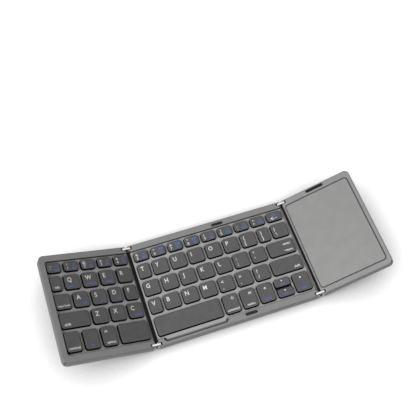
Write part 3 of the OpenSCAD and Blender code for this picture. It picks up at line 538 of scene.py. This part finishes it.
def edge_shade(material, tone, up, amount, places=()):
    """A colour with painted shade beside the edges of a surface that looks up, in the places named."""
    rounding = add_node(material, "ShaderNodeBevel", Radius=sizes().edge_line)
    rounding.samples = 8
    turned = add_node(material, "ShaderNodeVectorTransform")
    turned.vector_type = "NORMAL"
    turned.convert_from = "WORLD"
    turned.convert_to = "OBJECT"
    join(material, rounding.outputs["Normal"], turned.inputs["Vector"])
    share = remap(material, dot(material, turned.outputs["Vector"], up), *EDGE_FACING, 1, 0)
    plain = shader_of(material).inputs["Base Color"].default_value[:3]
    return mix_colours(material, all_of(material, [share, *places]), tone, shade(plain, -amount))


def rim_finish(side, colour):
    """Moulded plastic with painted shade beside its edges, and painted black shade on its inner walls and in
    its recesses and grooves.
    """
    material = moulded_finish(side + "_rim_satin_plastic", colour, 0.46)
    finish = shader_of(material).inputs["Base Color"]
    up = top_direction(LEVEL_NODES[side])
    across = Vector((0, 1, 0)).cross(up)
    points = points_of(side + "_top_frame")
    top = max(p.dot(up) for p in points)
    start, end = (f(p.dot(across) for p in points) for f in (min, max))
    half_depth = max(p.y for p in points)
    shaded = [start + sizes().fold_edge, end - sizes().fold_edge]
    wall_shade_span = [start + sizes().fold_chamfer, end - sizes().fold_chamfer]
    if side == "left":
        shaded[0] = start - RIM_SIDE
        wall_shade_span[0] = start + RIM_SIDE
    if side == "right":
        shaded[1] = end + RIM_SIDE
        beside_pad = min(p.dot(across) for p in points_of("touchpad_surface"))
        wall_shade_span = [beside_pad + PAD_OVERLAP, end - RIM_SIDE]
    coordinates = add_node(material, "ShaderNodeTexCoord")
    place = coordinates.outputs["Object"]
    along = dot(material, place, across)
    # Painted shade beside the rims' edges, but not beside the folds
    tone = edge_shade(material, finish.links[0].from_socket, up, 0.5, [within(material, along, *shaded)])
    # Where the painted black shade goes: inner walls, recesses and grooves below the rim's top
    inner = [
        within(material, along, *wall_shade_span),
        within(material, size_of(material, dot(material, place, (0, 1, 0))), 0, half_depth - RIM_SIDE),
        within(material, dot(material, place, up), top - RIM_DEPTH, top - RIM_SKIN),
    ]
    if side != "right":
        facing = dot(material, coordinates.outputs["Normal"], up)
        inner.append(remap(material, facing, *LEVEL_FACING, 1, 0))
    join(material, mix_colours(material, all_of(material, inner), tone, PAINTED_GROOVE_SHADE), finish)
    return material


def pad_finish(colour):
    """Matte touch surface with painted black shade on its side walls and painted shade beside its edges."""
    material = moulded_finish("touchpad_matte_plastic", colour, 0.4, 0.09 * MM)
    finish = shader_of(material).inputs["Base Color"]
    up = top_direction("touchpad_surface")
    facing = dot(material, add_node(material, "ShaderNodeTexCoord").outputs["Normal"], up)
    # Painted shade beside the touchpad's edges
    tone = edge_shade(material, finish.links[0].from_socket, up, 0.85)
    # Painted black shade on the touchpad's side walls
    pad_wall_shade = within(material, facing, -1.1, 0.5)
    join(material, mix_colours(material, pad_wall_shade, tone, PAINTED_WALL_SHADE), finish)
    return material


def link_finish(side):
    """Bright plated links with painted shade towards their long edges."""
    material = polished_finish(side + "_link_bright_metal", colours().link, 0.2)
    reach = [abs(p.y) for p in points_of(side + "_hinge_links")]
    place = add_node(material, "ShaderNodeTexCoord").outputs["Object"]
    outward = size_of(material, dot(material, place, (0, 1, 0)))
    # The band of a link that is clear of the painted edge shade
    bright = within(material, outward, min(reach) + sizes().link_edge, max(reach) - sizes().link_edge)
    tone = mix_colours(material, bright, LINK_EDGE_SHADE, colours().link)
    join(material, tone, shader_of(material).inputs["Base Color"])
    return material


def spine_finish(side):
    """Black plastic with a painted highlight, a grey strip, along its left side."""
    material = moulded_finish(side + "_spine_black_plastic", BLACK, 0.7)
    shader = shader_of(material)
    shader.inputs["Specular IOR Level"].default_value = 0.2
    reach = [p.x for p in points_of(side + "_hinge_spine")]
    # Painted highlight: grey at the spine's left side, fading to black
    strip = [min(reach) + part * (max(reach) - min(reach)) for part in SPINE_HIGHLIGHT]
    place = add_node(material, "ShaderNodeTexCoord").outputs["Object"]
    share = remap(material, dot(material, place, (1, 0, 0)), *strip, 0, 1)
    tone = mix_colours(material, share, colours().spine_highlight, BLACK)
    join(material, tone, shader.inputs["Base Color"])
    return material


def points_of(node):
    """The corners of a CAD node at rest."""
    return [v.co for v in frame["nodes"][node].data.vertices]


def top_direction(node):
    """The way the node's largest upward face looks."""
    areas = {}
    for face in frame["nodes"][node].data.polygons:
        if face.normal.z > 0.5:
            key = tuple(round(c, 3) for c in face.normal)
            areas[key] = areas.get(key, 0) + face.area
    return Vector(max(areas, key=areas.get)).normalized()


def paint_node(node, *materials):
    """Gives a CAD node's own object its finish."""
    slots = frame["nodes"][node].data.materials
    slots.clear()
    for material in materials:
        slots.append(material)


# ---- shared mesh work ----

def new_object(name, mesh_maker, materials):
    """Turns a bmesh into an object with these finishes."""
    mesh = bpy.data.meshes.new(name)
    mesh_maker.to_mesh(mesh)
    mesh_maker.free()
    for material in materials:
        mesh.materials.append(material)
    made = bpy.data.objects.new(name, mesh)
    bpy.context.scene.collection.objects.link(made)
    return made


def new_piece(name, mesh_maker, body, materials, replaced=()):
    """Turns a bmesh into an object that rides on a body."""
    piece = new_object(name, mesh_maker, materials)
    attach(piece, body)
    if replaced:
        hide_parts(*replaced)
    return piece


def smooth_faces(mesh_maker):
    """Smooth shading that breaks at the sharp edges."""
    for face in mesh_maker.faces:
        face.smooth = True
    for edge in mesh_maker.edges:
        edge.smooth = len(edge.link_faces) == 2 and edge.calc_face_angle() < SHARP_ANGLE


def add_to(mesh_maker, part):
    """Moves what one bmesh holds into another."""
    scratch = bpy.data.meshes.new("scratch")
    part.to_mesh(scratch)
    part.free()
    mesh_maker.from_mesh(scratch)
    bpy.data.meshes.remove(scratch)


def merged_copy(node):
    """A bmesh of a CAD node with its loose triangles joined."""
    made = bmesh.new()
    made.from_mesh(frame["nodes"][node].data)
    bmesh.ops.remove_doubles(made, verts=made.verts, dist=WELD)
    return made


def joint_with(entry, value):
    """The joint whose entry, such as its name or its child, has this value."""
    return next(joint for joint in frame["joints"] if joint[entry] == value)


def joint_at(name):
    """Where a joint's axis lies."""
    return Vector(joint_with("name", name)["pos_m"])


def panel_turn(body):
    """The directions of the panel that a key goes down in, as a rotation."""
    up = -Vector(joint_with("child", body)["axis"]).normalized()
    deep = Vector((0, 1, 0))
    return Matrix((deep.cross(up), deep, up)).transposed()


def islands(mesh_maker):
    """The corners of each loose part of a bmesh."""
    waiting = set(mesh_maker.verts)
    found = []
    while waiting:
        front = [waiting.pop()]
        part = []
        while front:
            vert = front.pop()
            part.append(vert)
            for edge in vert.link_edges:
                other = edge.other_vert(vert)
                if other in waiting:
                    waiting.remove(other)
                    front.append(other)
        found.append(part)
    return found


def box_of(points):
    """The lowest and the highest corner of some points."""
    return tuple(Vector(pick(p[i] for p in points) for i in range(3)) for pick in (min, max))


def solids_of(node, turn):
    """The boxes of a node's solids in the panel's own directions, from left to right."""
    made = merged_copy(node)
    bmesh.ops.transform(made, matrix=turn.inverted().to_4x4(), verts=made.verts)
    boxes = [box_of([v.co for v in part]) for part in islands(made)]
    made.free()
    return sorted(boxes, key=lambda box: box[0].x)


def split_by_key(node, keys, panel, finish):
    """Splits what lies under the keys into a soft piece per key joint, which rides on its panel."""
    made = merged_copy(node)
    made.verts.index_update()
    turn = panel_turn(keys[0])
    back = turn.inverted()
    boxes = {key: solids_of(key, turn) for key in keys}
    groups = {key: set() for key in keys}
    for part in islands(made):
        low, high = box_of([back @ v.co for v in part])
        middle = (low + high) / 2
        key = next(k for k in keys if any(
            b[0].x < middle.x < b[1].x and b[0].y < middle.y < b[1].y for b in boxes[k]))
        groups[key].update(v.index for v in part)
    for key in keys:
        part = made.copy()
        others = [v for v in part.verts if v.index not in groups[key]]
        bmesh.ops.delete(part, geom=others, context="VERTS")
        low, high = box_of([back @ v.co for v in part.verts])
        name = key + node[node.index("_"):]
        piece = new_piece(name, part, panel, (finish,), (node,) if key == keys[0] else ())
        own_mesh(piece)
    made.free()


def bend_ribbon(side, panel, pin, centre, finish):
    """The half of a ribbon between a panel and the fold's middle, cut across into strips."""
    made = merged_copy(side + "_ribbon_cable")
    reach = Vector((pin - centre, 0, 0))
    cuts = sizes().ribbon_steps
    for step in range(cuts + 1):
        at = Vector((centre, 0, 0)) + reach * 2 * step / cuts
        everything = made.verts[:] + made.edges[:] + made.faces[:]
        bmesh.ops.bisect_plane(made, geom=everything, plane_co=at, plane_no=reach, clear_inner=step == 0)
    bmesh.ops.holes_fill(made, edges=[e for e in made.edges if e.is_boundary])
    piece = new_object(f"{side}_ribbon_to_{panel}", made, (finish,))
    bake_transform(piece)
    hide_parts(side + "_ribbon_cable")


def dish_depth(box, x, y):
    """How far a cap's top lies below its edge at a point."""
    low, high = box
    u = (2 * x - low.x - high.x) / (high.x - low.x)
    v = (2 * y - low.y - high.y) / (high.y - low.y)
    return sizes().cap_dish * max(0.0, 1 - u * u) * max(0.0, 1 - v * v)


def add_cap(mesh_maker, box):
    """A hollow cap with round corners, a soft upper edge and a dished top."""
    low, high = box
    size = high - low
    centre = (low + high) / 2
    verts = bmesh.ops.create_cube(mesh_maker, size=1.0)["verts"]
    bmesh.ops.scale(mesh_maker, vec=size, verts=verts)
    bmesh.ops.translate(mesh_maker, vec=centre, verts=verts)
    edges = {edge for vert in verts for edge in vert.link_edges}
    upright = [e for e in edges if abs(e.verts[0].co.z - e.verts[1].co.z) > size.z / 2]
    rounded = bmesh.ops.bevel(
        mesh_maker, geom=upright, offset=sizes().cap_corner, offset_type="OFFSET", segments=CORNER_STEPS,
        profile=0.5, affect="EDGES", material=-1)
    faces = {f for v in rounded["verts"] for f in v.link_faces}
    top = max(faces, key=lambda f: f.calc_center_median().z)
    base = min(faces, key=lambda f: f.calc_center_median().z)
    bmesh.ops.bevel(
        mesh_maker, geom=list(top.edges), offset=sizes().cap_edge, offset_type="OFFSET",
        segments=sizes().arc_steps, profile=0.5, affect="EDGES", material=-1)
    top = max(mesh_maker.faces, key=lambda f: (
        low.x < f.calc_center_median().x < high.x and low.y < f.calc_center_median().y < high.y
        and f.normal.z > 0.99, f.calc_area()))
    for share in DISH_RINGS:
        bmesh.ops.inset_individual(mesh_maker, faces=[top], thickness=0.01 * MM)
        bmesh.ops.scale(
            mesh_maker, vec=(share, share, 1), space=Matrix.Translation(-centre), verts=top.verts)
        for vert in top.verts:
            vert.co.z = high.z - dish_depth(box, vert.co.x, vert.co.y)
    bmesh.ops.inset_individual(mesh_maker, faces=[base], thickness=sizes().cap_wall)
    lifted = bmesh.ops.extrude_discrete_faces(mesh_maker, faces=[base])["faces"]
    bmesh.ops.translate(
        mesh_maker, vec=(0, 0, size.z - sizes().cap_top), verts=list({v for f in lifted for v in f.verts}))


def paint_cap_sides(mesh_maker):
    """Second finish on everything but the caps' tops."""
    for face in mesh_maker.faces:
        face.material_index = 0 if face.normal.z > 0.96 else 1


# ---- lettering ----

def lettering(text, height, thickness):
    """Flat letters of this height as a bmesh, with their left end and baseline at the origin."""
    curve = bpy.data.curves.new("lettering", "FONT")
    curve.body = text
    curve.size = height / CAPITAL_HEIGHT
    curve.extrude = thickness
    curve.offset = height * BOLDNESS
    curve.resolution_u = LETTER_STEPS
    holder = bpy.data.objects.new("lettering", curve)
    bpy.context.scene.collection.objects.link(holder)
    bpy.context.view_layer.update()
    evaluated = holder.evaluated_get(bpy.context.evaluated_depsgraph_get())
    mesh = bpy.data.meshes.new_from_object(evaluated)
    made = bmesh.new()
    made.from_mesh(mesh)
    bmesh.ops.remove_doubles(made, verts=made.verts, dist=LETTER_WELD)
    bpy.data.objects.remove(holder)
    bpy.data.curves.remove(curve)
    bpy.data.meshes.remove(mesh)
    left = min(v.co.x for v in made.verts)
    bmesh.ops.translate(made, vec=(-left, 0, 0), verts=made.verts)
    return made


def put_text(mesh_maker, box, text, height, x, y, align, ink, stretch=1.0):
    """Puts a text on a cap: x in metres from its left edge, y from its back edge down to the baseline."""
    low, high = box
    made = lettering(text, height, sizes().ink)
    bmesh.ops.scale(made, vec=(stretch, 1, 1), verts=made.verts)
    width = max(v.co.x for v in made.verts)
    left = low.x + x - align * width
    baseline = high.y - y
    for vert in made.verts:
        vert.co.x += left
        vert.co.y += baseline
        vert.co.z += high.z - dish_depth(box, vert.co.x, vert.co.y)
    for face in made.faces:
        face.material_index = ink
    add_to(mesh_maker, made)


def put_legend(mesh_maker, box, kind, *marks):
    """Puts one key's marks on its cap."""
    put = partial(put_text, mesh_maker, box)
    low, high = box
    width = high.x - low.x
    depth = high.y - low.y
    letter = sizes().letter_height
    mark = sizes().mark_height
    word = sizes().word_height
    inset = 2.9 * MM
    foot = depth - 2.3 * MM
    if kind == "number":
        sign, figure, picture, name = marks
        put(sign, mark * 0.85, inset + 0.3 * MM, 4.1 * MM, CENTRE, WHITE)
        put(figure, mark * 0.9, inset + 0.3 * MM, 7.5 * MM, CENTRE, WHITE)
        put(picture, mark * 0.6, width * 0.7, 4.1 * MM, CENTRE, BLUE)
        put(name, mark * 0.85, width * 0.7, 7.7 * MM, CENTRE, BLUE)
    elif kind in ("letter", "left letter", "right letter"):
        put(marks[0], letter, inset, 2.9 * MM + letter, LEFT, WHITE, 0.88)
        if len(marks) > 1:
            at = {"left letter": 0.36, "letter": 0.55, "right letter": 0.66}[kind]
            put(marks[1], word * 0.8, width * at, foot, CENTRE, BLUE)
    elif kind == "pair":
        put(marks[0], letter * 0.8, inset, 3.1 * MM + letter * 0.8, LEFT, WHITE)
        put(marks[1], letter * 0.8, inset, foot - 0.3 * MM, LEFT, WHITE)
    elif kind == "word":
        side = inset * (1 - 2 * marks[1]) + width * marks[1]
        put(marks[0], word, side, foot, marks[1], WHITE)
    elif kind == "small word":
        put(marks[0], word * 0.84, width * 0.5, foot, CENTRE, WHITE)
    elif kind == "blue word":
        put(marks[0], word * 0.9, width * 0.5, foot, CENTRE, BLUE)
    elif kind == "small mark":
        put(marks[0], word * 0.9, inset, 3 * MM + word, LEFT, WHITE)
        put(marks[1], word * 0.92, width * 0.52, foot, CENTRE, WHITE)
    elif kind == "right mark":
        put(marks[0], word * 0.95, width - inset, 3 * MM + word, RIGHT, WHITE)
        put(marks[1], word * 0.86, width * 0.52, foot, CENTRE, WHITE)
    elif kind == "arrow word":
        put(marks[0], mark * 1.1, inset, depth - 1.6 * MM, LEFT, WHITE, 2.2)
        put(marks[1], word, width * 0.5, 4.0 * MM, CENTRE, BLUE)
    elif kind == "two words":
        put(marks[0], word, width - inset, 3.1 * MM + word, RIGHT, WHITE)
        put(marks[1], word, width - inset, foot, RIGHT, WHITE)
    elif kind == "arrow":
        put(marks[0], word * 0.7, width * 0.5, 3.1 * MM + word, CENTRE, WHITE)
        put(marks[1], word * 0.86, width * 0.5, foot, CENTRE, BLUE)
    elif kind == "half arrow":
        put(marks[0], word * 0.55, width * 0.5, 1.4 * MM + word * 0.7, CENTRE, WHITE)
        put(marks[1], word * 0.8, width * 0.5, depth - 1.8 * MM, CENTRE, BLUE)


# ---- operators ----

class KEYBOARD_OT_shells(Operator):
    """Finishes of the rims, covers and key decks"""
    bl_idname = "keyboard.shells"
    bl_label = "Shells and Decks"

    def execute(self, context):
        rim = moulded_finish("rim_satin_plastic", colours().rim, 0.46)
        deck = moulded_finish("deck_satin_plastic", colours().deck, 0.42)
        for side in SIDES:
            paint_node(side + "_top_frame", rim_finish(side, colours().rim))
            paint_node(side + "_bottom_cover", rim)
        for side in ("left", "middle"):
            paint_node(side + "_key_deck", deck)
        return {"FINISHED"}


class KEYBOARD_OT_under_keys(Operator):
    """Finishes of the plates, membranes, domes and levers under the keys"""
    bl_idname = "keyboard.under_keys"
    bl_label = "Under the Keys"

    def execute(self, context):
        plate = brushed_finish("plate_brushed_steel", (0.5, 0.51, 0.53), 0.34)
        film = striped_finish(
            "membrane_film", (0.02, 0.022, 0.02), (0.12, 0.12, 0.12), 2.4 * MM, 0.16, 0.45, True)
        dome = silicone_finish("dome_silicone", (0.72, 0.72, 0.69))
        lever = moulded_finish("lever_plastic", (0.7, 0.7, 0.69), 0.4, edge=0)
        for side, keys in (("left", LEFT_KEYS), ("middle", MIDDLE_KEYS)):
            paint_node(side + "_support_plate", plate)
            paint_node(side + "_membrane", film)
            split_by_key(side + "_rubber_domes", keys, side + "_panel", dome)
            split_by_key(side + "_scissor_levers", keys, side + "_panel", lever)
        return {"FINISHED"}


class KEYBOARD_OT_key_caps(Operator):
    """Key caps with dished tops, soft edges and black sides"""
    bl_idname = "keyboard.key_caps"
    bl_label = "Key Caps"

    def execute(self, context):
        top = cap_top_finish("key_top_paint", colours().cap)
        side = moulded_finish("key_side_plastic", colours().skirt, 0.75, edge=0)
        shader_of(side).inputs["Specular IOR Level"].default_value = 0.0
        for node in LEFT_KEYS + MIDDLE_KEYS:
            turn = panel_turn(node)
            made = bmesh.new()
            for box in solids_of(node, turn):
                one = bmesh.new()
                add_cap(one, box)
                paint_cap_sides(one)
                add_to(made, one)
            made.normal_update()
            smooth_faces(made)
            bmesh.ops.transform(made, matrix=turn.to_4x4(), verts=made.verts)
            new_piece(node + "_caps", made, node, (top, side), (node,))
        return {"FINISHED"}


class KEYBOARD_OT_key_legends(Operator):
    """White and blue legends printed on the key caps"""
    bl_idname = "keyboard.key_legends"
    bl_label = "Key Legends"

    def execute(self, context):
        inks = (
            print_finish("white_print", colours().white_ink),
            print_finish("blue_print", colours().blue_ink),
        )
        for node, keys in LEGENDS.items():
            turn = panel_turn(node)
            boxes = solids_of(node, turn)
            if len(boxes) != len(keys):
                raise RuntimeError(f"{node} has {len(boxes)} keys, and {len(keys)} legends")
            made = bmesh.new()
            for box, key in zip(boxes, keys):
                put_legend(made, box, *key)
            made.normal_update()
            bmesh.ops.transform(made, matrix=turn.to_4x4(), verts=made.verts)
            new_piece(node + "_legends", made, node, inks)
        return {"FINISHED"}


class KEYBOARD_OT_hinges(Operator):
    """Bright links with painted shade along their edges, pins, spines with a painted highlight, and ribbon
    cables
    """
    bl_idname = "keyboard.hinges"
    bl_label = "Hinges"

    def execute(self, context):
        pin = polished_finish("pin_steel", (0.62, 0.62, 0.63), 0.25)
        ribbon = striped_finish(
            "ribbon_film", (0.012, 0.01, 0.009), (0.03, 0.024, 0.02), 1.0 * MM, 0.5, 0.4, True)
        for side in ("left", "right"):
            paint_node(side + "_hinge_links", link_finish(side))
            paint_node(side + "_hinge_spine", spine_finish(side))
            inner, outer = (joint_at(side + name).x for name in ("_inner_pins", "_fold"))
            bend_ribbon(side, "middle_panel", inner, (inner + outer) / 2, ribbon)
            bend_ribbon(side, side + "_panel", outer, (inner + outer) / 2, ribbon)
        for side in SIDES:
            paint_node(side + "_hinge_pins", pin)
        return {"FINISHED"}


class KEYBOARD_OT_touchpad(Operator):
    """Finishes of the touchpad, its boards, the battery, the port and the window"""
    bl_idname = "keyboard.touchpad"
    bl_label = "Touchpad Panel"

    def execute(self, context):
        board = board_finish("circuit_board_mask", (0.01, 0.09, 0.03), (0.02, 0.15, 0.05))
        paint_node("touchpad_surface", pad_finish(colours().touchpad))
        paint_node("touchpad_board", board)
        paint_node("main_circuit_board", board)
        paint_node("battery", foil_finish("battery_foil", (0.62, 0.64, 0.67)))
        paint_node("charging_port", polished_finish("port_steel", (0.6, 0.6, 0.61), 0.28))
        paint_node("indicator_window", window_finish("window_dark_tint", BLACK))
        return {"FINISHED"}


class KEYBOARD_OT_small_parts(Operator):
    """Finishes of the feet, bumpers and screws"""
    bl_idname = "keyboard.small_parts"
    bl_label = "Small Parts"

    def execute(self, context):
        rubber = rubber_finish("black_rubber", (0.014, 0.014, 0.014))
        screw = brushed_finish("screw_blackened_steel", (0.12, 0.12, 0.125), 0.35, (30, 30, 1))
        for side in SIDES:
            paint_node(side + "_feet", rubber)
            paint_node(side + "_screws", screw)
        paint_node("closing_bumpers", rubber)
        return {"FINISHED"}


class KEYBOARD_OT_studio(Operator):
    """Pale floor with painted shade under the raised panels, even sky, two soft lamps and the camera"""
    bl_idname = "keyboard.studio"
    bl_label = "Studio"

    def execute(self, context):
        scene = context.scene
        view = scene.keyboard_view
        scene.view_settings.view_transform = "Standard"
        self.add_floor(view.floor_glow, view.shade_reach)
        self.add_sky(scene, view.sky)
        self.add_lamp(scene, "front_lamp", FRONT_LAMP_AT, FRONT_LAMP_SIZE, view.front)
        self.add_lamp(scene, "side_lamp", SIDE_LAMP_AT, SIDE_LAMP_SIZE, view.side)
        self.add_camera(scene, view)
        return {"FINISHED"}

    def add_floor(self, glow, reach):
        """A plain floor, white in the open; under the raised panels it is darker by the lamps' real shadows
        and by painted shade, where ambient occlusion dims its glow.
        """
        material = plain_finish("floor_white", FLOOR_COLOUR, 0.9, specular=0.0)
        shader = shader_of(material)
        seen = add_node(material, "ShaderNodeLightPath").outputs["Is Camera Ray"]
        join(material, mix_colours(material, seen, FLOOR_COLOUR, FLOOR_SEEN), shader.inputs["Base Color"])
        shader.inputs["Emission Color"].default_value = (1, 1, 1, 1)
        # Ambient occlusion dims the glow: painted shade under the raised panels
        occlusion_shade = add_node(material, "ShaderNodeAmbientOcclusion", Distance=reach)
        occlusion_shade.samples = 4
        share = all_of(material, [seen, occlusion_shade.outputs["AO"], occlusion_shade.outputs["AO"]])
        join(material, remap(material, share, 0, 1, 0, glow), shader.inputs["Emission Strength"])
        made = bmesh.new()
        bmesh.ops.create_grid(made, x_segments=1, y_segments=1, size=FLOOR_REACH)
        floor = new_object("studio_floor", made, (material,))

    def add_sky(self, scene, strength):
        """Even light; white for the camera and in reflections."""
        world = bpy.data.worlds.new("studio_sky")
        world.use_nodes = True
        scene.world = world
        back = world.node_tree.nodes["Background"]
        back.inputs["Color"].default_value = (1, 1, 1, 1)
        path = add_node(world, "ShaderNodeLightPath")
        shown = path.outputs["Is Camera Ray"]
        for extra in ("Is Glossy Ray", "Is Transmission Ray"):
            shown = reckon(world, "MAXIMUM", shown, path.outputs[extra])
        join(world, remap(world, shown, 0, 1, strength, 1), back.inputs["Strength"])

    def add_lamp(self, scene, name, place, size, power):
        """A round soft lamp that shines at the origin."""
        light = bpy.data.lights.new(name, "AREA")
        light.shape = "DISK"
        light.size = size
        light.energy = power
        lamp = bpy.data.objects.new(name, light)
        lamp.location = place
        lamp.rotation_mode = "QUATERNION"
        lamp.rotation_quaternion = (-lamp.location).to_track_quat("-Z", "Y")
        scene.collection.objects.link(lamp)

    def add_camera(self, scene, view):
        """The camera at the object's own viewing angle."""
        forward = Vector(view.camera_forward).normalized()
        right = Vector(view.camera_right).normalized()
        up = right.cross(forward)
        data = bpy.data.cameras.new("camera")
        data.sensor_width = 36.0
        data.lens = view.lens
        data.clip_start = 0.01
        camera = bpy.data.objects.new("camera", data)
        camera.matrix_world = Matrix.Translation(view.camera_at) @ Matrix(
            (right, up, -forward)).transposed().to_4x4()
        scene.collection.objects.link(camera)
        scene.camera = camera


class KEYBOARD_PT_dressing(Panel):
    """Lists the steps and the settings of the keyboard's dressing"""
    bl_idname = "KEYBOARD_PT_dressing"
    bl_label = "Folding Keyboard"
    bl_space_type = "VIEW_3D"
    bl_region_type = "UI"
    bl_category = "Keyboard"

    def draw(self, context):
        for operator in OPERATORS:
            self.layout.operator(operator.bl_idname)
        for group_name in GROUPS:
            group = getattr(context.scene, group_name)
            column = self.layout.column()
            for name in group.bl_rna.properties.keys():
                if name not in ("rna_type", "name"):
                    column.prop(group, name)


OPERATORS = (
    KEYBOARD_OT_studio, KEYBOARD_OT_shells, KEYBOARD_OT_under_keys, KEYBOARD_OT_key_caps,
    KEYBOARD_OT_key_legends, KEYBOARD_OT_hinges, KEYBOARD_OT_touchpad, KEYBOARD_OT_small_parts,
)
GROUPS = {
    "keyboard_sizes": KeyboardSizes,
    "keyboard_colours": KeyboardColours,
    "keyboard_view": KeyboardView,
}


def register():
    for group in GROUPS.values():
        bpy.utils.register_class(group)
    for operator in OPERATORS:
        bpy.utils.register_class(operator)
    bpy.utils.register_class(KEYBOARD_PT_dressing)
    for name, group in GROUPS.items():
        setattr(bpy.types.Scene, name, PointerProperty(type=group))


def unregister():
    for name in GROUPS:
        delattr(bpy.types.Scene, name)
    bpy.utils.unregister_class(KEYBOARD_PT_dressing)
    for operator in reversed(OPERATORS):
        bpy.utils.unregister_class(operator)
    for group in reversed(GROUPS.values()):
        bpy.utils.unregister_class(group)


def main():
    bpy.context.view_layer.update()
    register()
    bpy.ops.keyboard.studio()
    bpy.ops.keyboard.shells()
    bpy.ops.keyboard.under_keys()
    bpy.ops.keyboard.key_caps()
    bpy.ops.keyboard.key_legends()
    bpy.ops.keyboard.hinges()
    bpy.ops.keyboard.touchpad()
    bpy.ops.keyboard.small_parts()
    bpy.context.view_layer.update()


if __name__ == "__main__":
    main()
